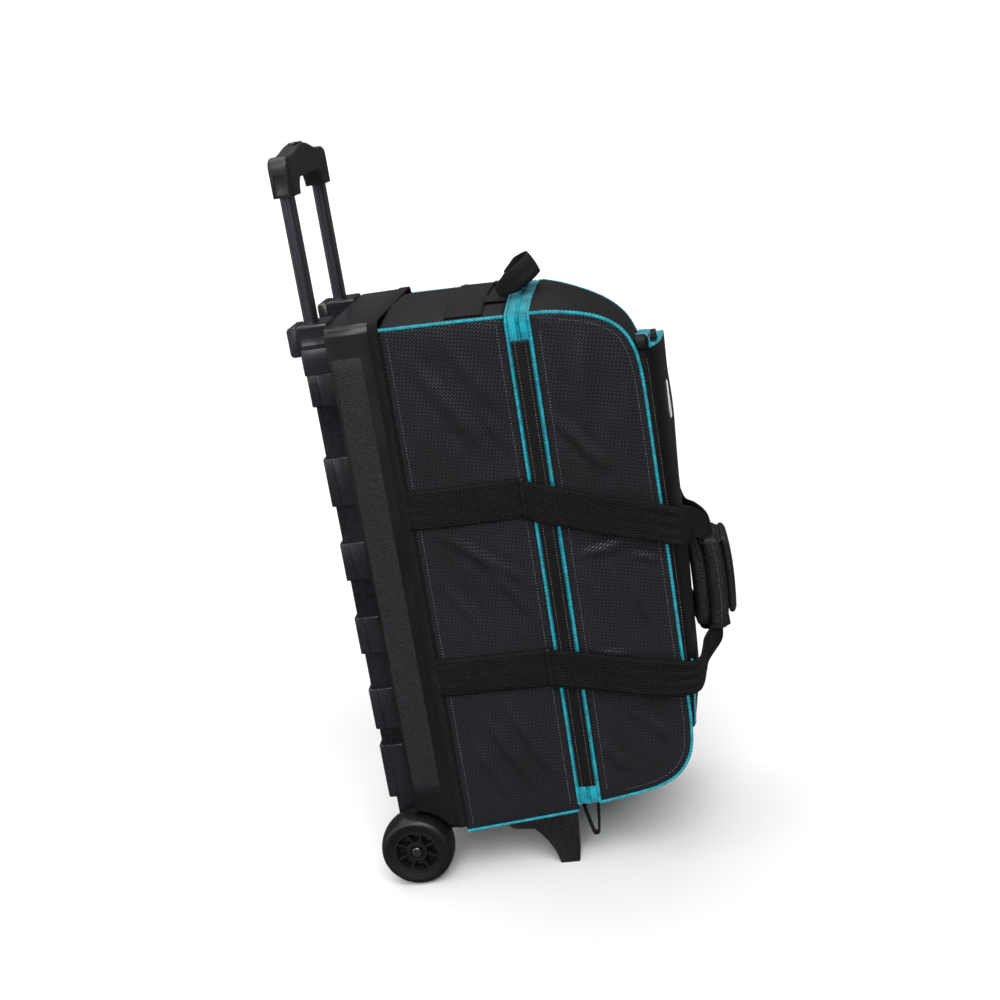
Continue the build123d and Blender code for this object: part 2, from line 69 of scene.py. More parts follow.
# ---------------------------------------------------------------- materials
class Net:
    """Wires one node material."""

    def __init__(self, name):
        self.material = bpy.data.materials.new(name)
        self.material.use_nodes = True
        self.tree = self.material.node_tree
        self.tree.nodes.clear()

    def add(self, kind, inputs, **settings):
        node = self.tree.nodes.new("ShaderNode" + kind)
        for key, value in settings.items():
            setattr(node, key, value)
        for key, value in inputs.items():
            if isinstance(value, bpy.types.NodeSocket):
                self.tree.links.new(value, node.inputs[key])
            else:
                node.inputs[key].default_value = value
        return node

    def math(self, operation, a, b=0.0):
        return self.add("Math", {0: a, 1: b}, operation=operation).outputs[0]

    def coords(self):
        return self.add("TexCoord", {}).outputs["Object"]

    def uv(self):
        return self.add("UVMap", {}, uv_map="UVMap").outputs["UV"]

    def split(self, vector):
        return self.add("SeparateXYZ", {0: vector}).outputs

    def stretch(self, vector, scale):
        return self.add("Mapping", {"Vector": vector, "Scale": scale}).outputs[0]

    def noise(self, vector, scale, detail=3.0):
        inputs = {"Vector": vector, "Scale": scale, "Detail": detail}
        return self.add("TexNoise", inputs).outputs[0]

    def limits(self, value, low, high, to_low=0.0, to_high=1.0):
        inputs = {0: value, 1: low, 2: high, 3: to_low, 4: to_high}
        return self.add("MapRange", inputs).outputs[0]

    def mix(self, factor, a, b):
        node = self.add("Mix", {0: factor}, data_type="RGBA")
        for index, colour in ((6, a), (7, b)):
            if isinstance(colour, bpy.types.NodeSocket):
                self.tree.links.new(colour, node.inputs[index])
            else:
                node.inputs[index].default_value = (*colour, 1.0)
        return node.outputs[2]

    def finish(self, colour, rough, height, distance, strength=0.6, **fixed):
        """Principled surface with a bump of the given height, in metres."""
        bump = self.add("Bump", {"Height": height, "Distance": distance, "Strength": strength})
        inputs = {"Base Color": colour, "Roughness": rough, "Normal": bump.outputs[0]}
        inputs.update({key.replace("_", " "): value for key, value in fixed.items()})
        shader = self.add("BsdfPrincipled", inputs)
        self.add("OutputMaterial", {"Surface": shader.outputs[0]})
        return self.material


def grained(name, dark, light, grain, depth, rough, spread=0.08, patch=9.0, **fixed):
    """Moulded or matte surface: fine grain, and slow patches of tone and gloss."""
    net = Net(name)
    at = net.coords()
    fine = net.noise(at, grain, 4.0)
    slow = net.noise(at, patch, 2.0)
    colour = net.mix(net.limits(net.math("ADD", fine, slow), 0.75, 1.25), dark, light)
    gloss = net.limits(slow, 0.3, 0.7, rough - spread, rough + spread)
    fixed.setdefault("Specular_IOR_Level", 0.3)
    return net.finish(colour, gloss, fine, depth, **fixed)


def dobby_weave(name, across, up, dark, light):
    """Body cloth: slanting rows of short raised floats on a darker ground. The floats' lighter colour is
    partly the weave and partly a painted highlight, brighter in slow patches.
    """
    net = Net(name)
    at = net.coords()
    axes = dict(zip("XYZ", net.split(at)))
    plane = net.add("CombineXYZ", {0: axes[across], 1: axes[up]}).outputs[0]
    turned = net.add("Mapping", {"Vector": plane, "Rotation": (0, 0, math.radians(32))}).outputs[0]
    brick = net.add(
        "TexBrick",
        {"Vector": turned, "Scale": 1.0, "Mortar Size": 0.0009, "Mortar Smooth": 0.7,
         "Brick Width": 0.0062, "Row Height": 0.003},
    )
    thread = net.math("SUBTRACT", 1.0, brick.outputs["Fac"])
    slow = net.noise(at, 9.0, 2.0)
    fuzz = net.noise(at, 700.0, 2.0)
    height = net.math("ADD", thread, net.math("MULTIPLY", fuzz, 0.12))
    # painted highlight: the raised floats are lighter than the ground, and lighter still in slow patches
    # where folds would catch the light
    lit = net.math("MULTIPLY", thread, net.limits(slow, 0.35, 0.65, 0.3, 1.0))
    rough = net.limits(lit, 0.0, 1.0, 0.85, 0.28)
    return net.finish(
        net.mix(lit, dark, light), rough, height, 0.0012, 1.0,
        Sheen_Weight=0.015, Sheen_Roughness=0.4, Sheen_Tint=(0.5, 0.55, 0.8, 1.0), Specular_IOR_Level=0.45,
        Specular_Tint=(0.93, 0.95, 1.0, 1.0),
    )


def plain_weave(name, dark, light, rough=0.5):
    """Smoother cloth of the gussets: a very fine square weave."""
    net = Net(name)
    at = net.coords()
    x, y, z = net.split(at)
    one = net.math("SINE", net.math("MULTIPLY", net.math("ADD", x, z), 4200.0))
    two = net.math("SINE", net.math("MULTIPLY", net.math("ADD", y, net.math("MULTIPLY", z, 0.5)), 4200.0))
    weave = net.math("ADD", net.math("MULTIPLY", net.math("MULTIPLY", one, two), 0.5), net.noise(at, 500.0))
    slow = net.noise(at, 16.0, 3.0)
    tone = net.math("ADD", net.math("MULTIPLY", slow, 0.8), net.math("MULTIPLY", weave, 0.25))
    gloss = net.limits(slow, 0.3, 0.7, rough - 0.07, rough + 0.07)
    return net.finish(
        net.mix(tone, dark, light), gloss, weave, 0.0003, 0.5,
        Sheen_Weight=0.01, Sheen_Roughness=0.5, Sheen_Tint=(0.6, 0.62, 0.7, 1.0), Specular_IOR_Level=0.22,
    )


def webbing(name, dark, light, pitch=0.003, rough=0.5):
    """Woven strap: cross ribs with a slight chevron, and fine cords side by side across it. UV is in metres.
    """
    net = Net(name)
    along, across, _ = net.split(net.uv())
    zigzag = net.math("PINGPONG", across, 0.006)
    run = net.math("ADD", along, net.math("MULTIPLY", zigzag, 0.35))
    rib = net.math("SINE", net.math("MULTIPLY", run, 2 * math.pi / pitch))
    cord = net.math("SINE", net.math("MULTIPLY", across, 2 * math.pi / 0.0026))
    height = net.math("ADD", rib, net.math("MULTIPLY", cord, 0.45))
    patch = net.noise(net.coords(), 60.0, 3.0)
    tone = net.math("MULTIPLY", net.limits(height, -1.2, 1.2), net.limits(patch, 0.2, 0.8, 0.5, 1.0))
    gloss = net.limits(patch, 0.3, 0.7, rough - 0.06, rough + 0.08)
    return net.finish(
        net.mix(tone, dark, light), gloss, height, 0.0007, 0.9,
        Sheen_Weight=0.01, Sheen_Roughness=0.5, Sheen_Tint=(0.7, 0.7, 0.75, 1.0), Specular_IOR_Level=0.25,
    )


def leatherette(name, dark, light, cell, rough):
    """Coated cloth with a pebbled grain."""
    net = Net(name)
    at = net.coords()
    warp = net.noise(at, 160.0, 2.0)
    pebble = net.add("TexVoronoi", {"Vector": at, "Scale": cell, "Randomness": 0.9}, feature="F1").outputs[0]
    height = net.math("SUBTRACT", net.math("MULTIPLY", warp, 0.6), pebble)
    tone = net.limits(height, -0.6, 0.4)
    gloss = net.limits(pebble, 0.0, 0.8, rough - 0.1, rough + 0.12)
    return net.finish(net.mix(tone, dark, light), gloss, height, 0.0009, 0.8, Specular_IOR_Level=0.35)


def brushed(name, dark, light, rough):
    """Anodised tube: streaks that run up and down."""
    net = Net(name)
    streak = net.noise(net.stretch(net.coords(), (900.0, 900.0, 12.0)), 1.0, 3.0)
    gloss = net.limits(streak, 0.3, 0.7, rough - 0.06, rough + 0.1)
    return net.finish(net.mix(streak, dark, light), gloss, streak, 0.0001, 0.3, Metallic=0.85)


TEAL_DARK, TEAL = (0.001, 0.15, 0.2), (0.003, 0.34, 0.42)
MATERIALS = {
    # the side cloth's lighter, bluish colour is partly the floats' own tone and partly a painted highlight
    "side": dobby_weave("side_cloth", "Y", "Z", (0.0004, 0.0004, 0.0006), (0.016, 0.0168, 0.023)),
    "gusset": plain_weave("gusset_cloth", (0.0012, 0.0012, 0.0015), (0.0045, 0.0045, 0.0053)),
    "pocket": plain_weave("pocket_cloth", (0.0015, 0.0015, 0.0018), (0.006, 0.006, 0.007), 0.44),
    "webbing": webbing("strap_webbing", (0.001, 0.001, 0.0013), (0.008, 0.008, 0.0095)),
    "binding": webbing("binding_webbing", (0.0018, 0.0018, 0.002), (0.008, 0.008, 0.009), 0.0016),
    "rope": grained("teal_cord", TEAL_DARK, TEAL, 900.0, 0.0005, 0.45, patch=120.0,
                    Sheen_Weight=0.2, Sheen_Roughness=0.4),
    "tape": grained("teal_zip_tape", TEAL_DARK, TEAL, 700.0, 0.0003, 0.5, patch=60.0,
                    Sheen_Weight=0.2, Sheen_Roughness=0.4),
    "teeth": grained("teal_coil", TEAL_DARK, (0.005, 0.38, 0.46), 400.0, 0.0001, 0.3, patch=200.0),
    "thread": grained("grey_thread", (0.06, 0.06, 0.066), (0.2, 0.2, 0.21), 700.0, 0.0002, 0.5, patch=150.0),
    "black_thread": grained("black_thread", (0.008, 0.008, 0.009), (0.035, 0.035, 0.04), 700.0, 0.0002, 0.5,
                            patch=150.0),
    "white_thread": grained("white_thread", (0.5, 0.52, 0.54), (0.85, 0.87, 0.88), 900.0, 0.0002, 0.5,
                            patch=90.0),
    "wrap": leatherette("wrap_leather", (0.003, 0.003, 0.0035), (0.022, 0.022, 0.025), 520.0, 0.42),
    "tray": grained("tray_plastic", (0.002, 0.002, 0.0027), (0.006, 0.006, 0.0078), 260.0, 0.0002, 0.36,
                    Specular_IOR_Level=0.5),
    "tray_panel": leatherette("tray_grain", (0.003, 0.003, 0.004), (0.016, 0.017, 0.022), 900.0, 0.36),
    "moulded": grained("satin_moulding", (0.006, 0.006, 0.0078), (0.015, 0.016, 0.021), 330.0, 0.00012, 0.27,
                        Specular_IOR_Level=0.6),
    "channel": grained("channel_metal", (0.006, 0.006, 0.008), (0.016, 0.017, 0.022), 200.0, 0.0001, 0.26,
                       Metallic=0.3, Specular_IOR_Level=0.5),
    "grip": grained("grip_plastic", (0.004, 0.004, 0.004), (0.012, 0.012, 0.013), 520.0, 0.0003, 0.38,
                    Specular_IOR_Level=0.5),
    "tube": brushed("anodised_tube", (0.045, 0.047, 0.06), (0.13, 0.135, 0.165), 0.27),
    "tyre": grained("tyre_rubber", (0.002, 0.002, 0.002), (0.007, 0.007, 0.0075), 240.0, 0.0003, 0.4,
                    Specular_IOR_Level=0.45),
    "rim": grained("rim_plastic", (0.004, 0.004, 0.004), (0.013, 0.013, 0.014), 300.0, 0.0001, 0.38),
    "foot": grained("foot_plastic", (0.005, 0.005, 0.006), (0.016, 0.016, 0.018), 300.0, 0.0003, 0.44),
    "steel": grained("steel", (0.12, 0.12, 0.125), (0.32, 0.32, 0.33), 300.0, 0.0001, 0.32, Metallic=1.0),
    "dark_metal": grained("zip_metal", (0.02, 0.02, 0.022), (0.07, 0.07, 0.075), 500.0, 0.0001, 0.32,
                          Metallic=0.9),
    "foam": grained("cup_foam", (0.015, 0.015, 0.016), (0.045, 0.045, 0.048), 900.0, 0.0006, 0.75),
}
NODE_FINISH = {
    "tray": "tray", "base_board": "gusset", "grip": "grip", "release_button": "moulded",
    "latch_rods": "steel", "axle": "steel", "axle_caps": "steel", "tube_sliders": "moulded",
    "top_brackets": "moulded", "pocket_slider": "dark_metal", "pocket_pull": "dark_metal",
    "ball_cup_bottom": "foam", "ball_cup_middle": "foam", "ball_cup_top": "foam",
}
PAIR_FINISH = {
    "handle_channel": "channel", "handle_tube": "tube", "stand_foot": "foot", "tube_cap": "moulded",
    "tube_clips": "moulded", "tyre": "tyre", "wheel_housing": "moulded", "wheel_rim": "rim",
    "zip_pull": "dark_metal", "zip_slider": "dark_metal",
}
SOFT_EDGES = {
    "tray": 1.2, "grip": 0.8, "top_brackets": 0.8, "release_button": 0.5, "tube_cap_left": 0.9,
    "tube_cap_right": 0.9, "tube_clips_left": 0.8, "tube_clips_right": 0.8, "stand_foot_left": 0.9,
    "stand_foot_right": 0.9, "wheel_rim_left": 0.5, "wheel_rim_right": 0.5,
}


def finish_frame():
    """Materials and softened edges on the CAD nodes that stay."""
    finishes = dict(NODE_FINISH)
    for stem, key in PAIR_FINISH.items():
        finishes[stem + "_left"] = finishes[stem + "_right"] = key
    for node, key in finishes.items():
        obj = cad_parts[node]
        if not obj.material_slots:
            obj.data.materials.append(None)
        for slot in obj.material_slots:
            slot.material = MATERIALS[key]
        obj.data.shade_smooth()
        weld = obj.modifiers.new("weld", "WELD")
        weld.merge_threshold = 0.00002
        if node in SOFT_EDGES:
            bevel = obj.modifiers.new("soft_edges", "BEVEL")
            bevel.width = SOFT_EDGES[node] * MM
            bevel.segments = 2
            bevel.limit_method = "ANGLE"
            bevel.angle_limit = math.radians(35)
            bevel.harden_normals = False
        split = obj.modifiers.new("sharp", "EDGE_SPLIT")
        split.split_angle = math.radians(40)


# ---------------------------------------------------------------- mesh tools
def unit(v):
    return v / np.maximum(np.linalg.norm(v, axis=-1, keepdims=True), 1e-9)


def even(dense, step=None, count=None, closed=False):
    """Evenly spaced points along a dense polyline."""
    dense = np.array(dense, float)
    if closed:
        dense = np.vstack([dense, dense[:1]])
    run = np.concatenate([[0], np.cumsum(np.linalg.norm(np.diff(dense, axis=0), axis=1))])
    count = count or max(int(round(run[-1] / step)), 2) + 1
    at = np.linspace(0, run[-1], count)
    if closed:
        at = at[:-1]
    return np.stack([np.interp(at, run, dense[:, k]) for k in range(dense.shape[1])], 1)


def through(points, closed=False, fine=16):
    """Dense Catmull-Rom curve through the points."""
    p = np.array(points, float)
    if closed:
        ext = np.vstack([p[-1:], p, p[:2]])
    else:
        ext = np.vstack([2 * p[:1] - p[1:2], p, 2 * p[-1:] - p[-2:-1]])
    t = np.linspace(0, 1, fine, endpoint=False)[:, None]
    parts = []
    for a, b, c, d in zip(ext, ext[1:], ext[2:], ext[3:]):
        cubic = (3 * b - a - 3 * c + d) * t ** 3 + (2 * a - 5 * b + 4 * c - d) * t ** 2
        parts.append(0.5 * (2 * b + (c - a) * t + cubic))
    if not closed:
        parts.append(p[-1:])
    return np.vstack(parts)


def tangents(path, closed):
    if closed:
        return unit(np.roll(path, -1, 0) - np.roll(path, 1, 0))
    return unit(np.gradient(path, axis=0))


def grid_faces(rows, cols, wrap_rows=False, wrap_cols=False):
    faces = []
    for r in range(rows if wrap_rows else rows - 1):
        for c in range(cols if wrap_cols else cols - 1):
            here, along = r * cols, (r + 1) % rows * cols
            beside = (c + 1) % cols
            faces.append((here + c, here + beside, along + beside, along + c))
    return faces


def build(name, points, faces, material, uv=None):
    """Smooth mesh object from points in millimetres. uv is one pair per point."""
    mesh = bpy.data.meshes.new(name)
    mesh.from_pydata((np.asarray(points).reshape(-1, 3) * MM).tolist(), [], faces)
    mesh.update()
    mesh.shade_smooth()
    mesh.materials.append(MATERIALS[material])
    if uv is not None:
        layer = mesh.uv_layers.new(name="UVMap")
        index = np.empty(len(mesh.loops), np.int32)
        mesh.loops.foreach_get("vertex_index", index)
        layer.data.foreach_set("uv", (uv.reshape(-1, 2)[index] * MM).ravel().astype(np.float32))
    obj = bpy.data.objects.new(name, mesh)
    scene.collection.objects.link(obj)
    return obj


def bake(obj):
    """Turns an object's modifiers into its mesh."""
    graph = bpy.context.evaluated_depsgraph_get()
    mesh = bpy.data.meshes.new_from_object(obj.evaluated_get(graph))
    obj.modifiers.clear()
    obj.data = mesh
    return obj


def cloth_piece(name, grid, material, thick=2.0):
    """Sheet of fabric with thickness from a grid of points, and a UV map in millimetres."""
    rows, cols = grid.shape[:2]
    along = np.linalg.norm(np.diff(grid, axis=0), axis=2).mean(1)
    across = np.linalg.norm(np.diff(grid, axis=1), axis=2).mean(0)
    u = np.concatenate([[0], np.cumsum(along)])
    v = np.concatenate([[0], np.cumsum(across)])
    uv = np.stack(np.meshgrid(u, v, indexing="ij"), -1)
    obj = build(name, grid, grid_faces(rows, cols), material, uv)
    solid = obj.modifiers.new("thick", "SOLIDIFY")
    solid.thickness = thick * MM
    solid.offset = 0
    return bake(obj)


def tube(name, rings, material, closed=False):
    """Closed tube from rings of points."""
    rows, cols = rings.shape[:2]
    faces = grid_faces(rows, cols, closed, True)
    if not closed:
        faces.append(tuple(range(cols))[::-1])
        faces.append(tuple(range((rows - 1) * cols, rows * cols)))
    return build(name, rings, faces, material)


def sweep(path, section, up, closed=False):
    """Rings round a path. section holds (out, across) pairs, one row per ring or one for all."""
    along = tangents(path, closed)
    across = unit(np.cross(along, up))
    out = np.cross(across, along)
    return path[:, None] + section[..., 0:1] * out[:, None] + section[..., 1:2] * across[:, None]


def oval(out, across, sides):
    """Section of a cord with the given half height and half width."""
    turn = np.linspace(0, 2 * math.pi, sides, endpoint=False)
    return np.column_stack([out * np.cos(turn), across * np.sin(turn)])


def rope_section(count, radius=ROPE_R, pitch=9.0, sides=12):
    """Two-strand twisted cord."""
    angle = np.linspace(0, 2 * math.pi, sides, endpoint=False)[None, :]
    turn = 2 * math.pi * np.arange(count)[:, None] * ROPE_STEP / pitch
    r = radius * (0.88 + 0.22 * np.cos(2 * (angle - turn)))
    return np.stack([r * np.cos(angle), r * np.sin(angle)], -1)


def rope(name, points, up, closed=False, radius=ROPE_R):
    path = even(points, ROPE_STEP, closed=closed)
    section = rope_section(len(path), radius)
    return tube(name, sweep(path, section, np.array(up, float), closed), "rope", closed)


def attach(obj, body, slot, *nodes):
    if nodes:
        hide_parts(*nodes)
    if body:
        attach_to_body(obj, body)
    return obj


def join(name, objects):
    """One object from several, keeping their materials."""
    for obj in objects:
        obj.select_set(True)
    bpy.context.view_layer.objects.active = objects[0]
    with bpy.context.temp_override(active_object=objects[0], selected_editable_objects=objects):
        bpy.ops.object.join()
    objects[0].name = name
    bpy.ops.object.select_all(action="DESELECT")
    return objects[0]


def mirror_points(points):
    return np.asarray(points) * np.array([-1.0, 1.0, 1.0])


# ---------------------------------------------------------------- stitches
def stitch_points(path, out, size=(1.25, 0.55, 0.7)):
    """Little spindles laid end to end along a path, standing on a surface that faces out."""
    spots = even(path, STITCH_PITCH)
    along = tangents(spots, False)
    normal = unit(np.array(out, float) * np.ones_like(spots))
    side = unit(np.cross(along, normal))
    length, width, height = size
    end, edge, top = along * length, side * width, normal * height
    corners = [end, edge, top, -edge, -end, -top]
    return np.stack([spots + c for c in corners], 1)


def stitches(name, rows, material, body, slot="body_fabric"):
    """Rows of stitches as one piece. rows is a list of (path, outward direction)."""
    spindles = np.concatenate([stitch_points(path, out) for path, out in rows])
    faces = []
    for i in range(len(spindles)):
        a, b, c, d, e, f = range(6 * i, 6 * i + 6)
        faces += [(a, b, c), (a, c, d), (e, c, b), (e, d, c), (a, f, b), (a, d, f), (e, b, f), (e, f, d)]
    return attach(build(name, spindles, faces, material), body, slot)


# ---------------------------------------------------------------- body cloth
# Side view (y, z) of the lid: the seam of its side panels, and the crown of the gusset between them.
LID_EDGE = even(through([
    (-44.5, 722.5), (-70, 721), (-103, 714.5), (-128, 705), (-147, 690), (-158, 669), (-163, 643),
    (-165, 600), (-166.5, 500), (-168, 400), (-169, 300), (-170, 220), (-169.5, 180), (-164, 146),
    (-148, 120.5), (-124, 106), (-100, 99.5), (-70, 94), (-44.5, 89.5),
]), 3.0)
LID_CROWN = even(through([
    (-44.5, 730.3), (-70, 728), (-103, 719.5), (-133, 702.5), (-152, 680), (-162, 658), (-165.5, 636),
    (-166.5, 560), (-167.5, 480), (-168.5, 400), (-169.5, 300), (-170.5, 225), (-170.3, 180),
    (-163.5, 143), (-147, 119.5), (-124, 105), (-99.5, 97.5), (-70, 93), (-44.5, 89.5),
]), 3.0)
REAR_EDGE = even([(133, 66.5), (-14.5, 81), (-14.5, 722), (133, 726)], 3.0, closed=True)
LID_OUTLINE = np.vstack([LID_EDGE, even([LID_EDGE[-1], LID_EDGE[0]], 3.0)])

# Folds of the side cloth in the side view: start, end, width and depth.
REAR_FOLDS = [
    ((62, 252), (-6, 104), 9, 2.4), ((92, 236), (20, 92), 8, 1.8), ((112, 205), (62, 92), 9, 1.5),
    ((104, 474), (6, 398), 9, 1.9), ((70, 452), (-8, 338), 8, 1.6), ((118, 420), (58, 330), 10, 1.4),
    ((112, 700), (20, 556), 13, 2.0), ((66, 716), (-2, 600), 12, 1.6), ((30, 620), (-8, 548), 9, 1.6),
]
LID_FOLDS = [
    ((-50, 606), (-112, 524), 9, 2.8), ((-98, 694), (-92, 560), 15, 2.4), ((-58, 690), (-62, 600), 8, 1.4),
    ((-56, 424), (-118, 433), 7, 2.5), ((-122, 420), (-160, 404), 6, 2.2), ((-62, 408), (-84, 340), 8, 1.6),
    ((-58, 298), (-112, 288), 6, 1.6), ((-120, 380), (-152, 300), 9, 1.5), ((-50, 182), (-88, 126), 8, 2.2),
    ((-96, 216), (-146, 168), 9, 1.4), ((-140, 640), (-150, 520), 7, 1.6),
]


def edge_distance(y, z, line):
    """Distance in the side view from points to a line."""
    spots = np.stack([y, z], -1)[..., None, :]
    return np.linalg.norm(spots - line, axis=-1).min(-1)


def folds(y, z, rows):
    """Height of soft folds. Each runs between two points and dies out at its ends."""
    total = np.zeros_like(y)
    for start, end, width, depth in rows:
        run = np.array(end, float) - start
        length = np.hypot(*run)
        t = ((y - start[0]) * run[0] + (z - start[1]) * run[1]) / length ** 2
        off = ((y - start[0]) * run[1] - (z - start[1]) * run[0]) / length / width
        fade = np.clip(1 - (2 * t - 1) ** 2, 0, 1)
        total += depth * fade * (1 - 1.4 * off ** 2) * np.exp(-off ** 2)
    return total


def rumple(y, z, seed):
    """Slow unevenness of stuffed cloth."""
    flat = []
    for a, b in zip(y.ravel(), z.ravel()):
        broad = noise.noise(Vector((a / 58, b / 75, seed)))
        fine = noise.noise(Vector((a / 19, b / 33, seed + 9)))
        flat.append(1.3 * broad + 0.5 * fine)
    return np.array(flat).reshape(y.shape)


def skin(y, z, lid):
    """Distance of the side cloth from the middle of the bag at a point of the side view."""
    line = LID_OUTLINE if lid else REAR_EDGE
    inside = edge_distance(y, z, line)
    puff = 1 - np.exp(-inside / 10)
    waves = folds(y, z, LID_FOLDS if lid else REAR_FOLDS) + rumple(y, z, 3.0 if lid else 7.0)
    return SIDE - 1.6 + 2.9 * puff + 1.9 * waves * (1 - np.exp(-inside / 16))


def coons(low, high, rear, front):
    """Grid that fills four edges. low and high run alike, and so do rear and front."""
    u = np.linspace(0, 1, len(low))[None, :, None]
    v = np.linspace(0, 1, len(rear))[:, None, None]
    ruled = (1 - v) * low[None] + v * high[None] + (1 - u) * rear[:, None] + u * front[:, None]
    bent = (1 - u) * (1 - v) * low[0] + u * (1 - v) * low[-1] + (1 - u) * v * high[0] + u * v * high[-1]
    return ruled - bent


def ease(value):
    """Smooth step from 0 to 1."""
    t = np.clip(value, 0, 1)
    return t * t * (3 - 2 * t)


def settle(points):
    """Lets the unsupported top of the lid sink, most at its far front corner."""
    x, y, z = points[..., 0], points[..., 1], points[..., 2]
    forward = np.clip((-36 - y) / 120, 0, 1) * ease((z - 480) / 200)
    drop = LID_SAG * forward * ((x + SIDE + 5) / (2 * SIDE)).clip(0, 1) ** 1.6
    return points - np.array([0, 0, 1.0]) * drop[..., None]


def side_panels():
    """The four side panels, puffed between their seams."""
    tall = 165
    rear = coons(
        even([(PANEL_REAR_Y, 81), (BINDING_FRONT, 66.5)], count=38),
        even([(PANEL_REAR_Y, 722), (BINDING_FRONT, 726)], count=38),
        even([(PANEL_REAR_Y, 81), (PANEL_REAR_Y, 722)], count=tall),
        even([(BINDING_FRONT, 66.5), (BINDING_FRONT, 726)], count=tall),
    )
    high = int(np.argmin(np.hypot(LID_EDGE[:, 0] + 150, LID_EDGE[:, 1] - 686)))
    low = int(np.argmin(np.hypot(LID_EDGE[:, 0] + 160, LID_EDGE[:, 1] - 135)))
    lid = coons(
        even(LID_EDGE[low:][::-1], count=34),
        even(LID_EDGE[:high + 1], count=34),
        even([LID_EDGE[-1], LID_EDGE[0]], count=tall),
        even(LID_EDGE[high:low + 1][::-1], count=tall),
    )
    for name, grid, is_lid, body in (("rear", rear, False, "root"), ("lid", lid, True, "lid")):
        x = skin(grid[..., 0], grid[..., 1], is_lid)
        for side, sign in (("left", -1), ("right", 1)):
            points = np.concatenate([(sign * x)[..., None], grid], -1)
            if is_lid:
                points = settle(points)
            piece = cloth_piece(f"{name}_side_{side}", points, "side")
            attach(piece, body, "body_fabric")


def top_height(x, y):
    """Height of the top cloth over the rear half and the zip."""
    edge = 722 + (y - PANEL_REAR_Y) * 4 / REAR_DEPTH
    middle = np.minimum(730.5 + (y + 51.5) * 11 / 216.5, 736.5)
    return edge + (middle - edge) * (1 - np.abs(x / GUSSET_HALF) ** 2.4)


def rear_gussets():
    """Top and bottom cloth of the rear half."""
    across, back = np.linspace(-GUSSET_HALF, GUSSET_HALF, 70), np.linspace(PANEL_REAR_Y, BINDING_FRONT, 40)
    x, y = np.meshgrid(across, back, indexing="ij")
    lumps = rumple(x, y, 21.0) * 0.7
    top = np.stack([x, y, top_height(x, y) + lumps * (1 - np.abs(x / GUSSET_HALF) ** 4)], -1)
    low = np.stack([x, y, 81 - (y - PANEL_REAR_Y) * 14.5 / REAR_DEPTH + 0 * x], -1)
    attach(cloth_piece("rear_top", top, "gusset"), "root", "body_fabric", "rear_shell")
    attach(cloth_piece("rear_bottom", low, "gusset"), "root", "body_fabric")


def lid_gusset():
    """The long strip round the lid: top, front face and bottom."""
    rows, cols = 260, 60
    edge, crown = even(LID_EDGE, count=rows), even(LID_CROWN, count=rows)
    x = np.linspace(-GUSSET_HALF, GUSSET_HALF, cols)
    weight = (1 - np.abs(x / GUSSET_HALF) ** 2.6)[None, :, None]
    strip = edge[:, None] + (crown - edge)[:, None] * weight
    points = np.concatenate([np.broadcast_to(x[None, :, None], (rows, cols, 1)), strip], -1)
    lumps = rumple(points[..., 0], points[..., 2], 33.0) * weight[..., 0] * 0.8
    out = unit(np.stack([np.zeros(rows), np.gradient(crown[:, 1]), -np.gradient(crown[:, 0])], -1))
    centre = np.array([0, 0, 400.0])
    flip = np.sign(((points.mean(1) - centre) * out).sum(-1))
    points = settle(points + out[:, None] * (flip[:, None] * lumps)[..., None])
    attach(cloth_piece("lid_gusset", points, "gusset"), "lid", "body_fabric", "lid_shell")


def seams_and_cords():
    """Teal cords along the side seams, and the dotted stitch lines beside them."""
    top_line = [(-14.5, 722.8), (60, 725), (133, 726.8)]
    low_line = [(-14.5, 80.2), (133, 65.8)]
    for side, sign in (("left", -1), ("right", 1)):
        x = sign * (SIDE - 0.6)
        up = (sign, 0, 0)
        lines = [[(x, y, z) for y, z in line] for line in (top_line, low_line)]
        pieces = [rope(f"cord_{side}_{i}", line, up) for i, line in enumerate(lines)]
        attach(join(f"rear_cord_{side}", pieces), "root", "teal_trim")
        loop = settle(np.concatenate([np.full((len(LID_EDGE), 1), x), LID_EDGE], 1))
        nodes = ["lid_piping"] if side == "left" else []
        attach(rope(f"lid_cord_{side}", loop, up), "lid", "teal_trim", *nodes)
        inner = offset_line(LID_EDGE, 9.0)[12:-12]
        edges = [inner, np.array([(-54.0, 700), (-54.0, 110)])]
        rear = [np.array([(-5.0, 712), (-5.0, 92)]), np.array([(124.0, 716), (124.0, 78)])]
        for name, is_lid, lines in (("lid", True, edges), ("rear", False, rear)):
            rows = []
            for line in lines:
                line = even(line, STITCH_PITCH)
                out = skin(line[:, 0], line[:, 1], is_lid) + 1.2
                row = np.column_stack([sign * out, line])
                rows.append((settle(row) if is_lid else row, up))
            stitches(f"{name}_stitches_{side}", rows, "thread", "lid" if is_lid else "root")


def offset_line(line, distance):
    """The edge of the lid's side panel moved inwards."""
    along = tangents(line, False)
    return line + distance * np.stack([-along[:, 1], along[:, 0]], -1)


# ---------------------------------------------------------------- main zip
def band_loop(grow, step):
    """Loop round the fabric body at the zip, in the XZ plane, and its outward directions."""
    half, low, edge, rise = SIDE + grow, 86 - grow, 722.5 + grow, 8.5
    small, big = 9.0, 11.0

    def corner(x, z, radius, start):
        turn = np.radians(np.linspace(start, start - 90, 9))
        return np.column_stack([x + radius * np.cos(turn), z + radius * np.sin(turn)])

    span = np.linspace(-half + big, half - big, 60)
    crown = np.column_stack([span, edge + rise * (1 - (span / (half - big)) ** 2)])
    dense = np.vstack([
        [(0, low)], corner(-half + small, low + small, small, 270), corner(-half + big, edge - big, big, 180),
        crown[1:-1], corner(half - big, edge - big, big, 90), corner(half - small, low + small, small, 0),
    ])
    loop = even(dense, step, closed=True)
    along = tangents(loop, True)
    out = np.stack([-along[:, 1], along[:, 0]], -1)
    return loop, out


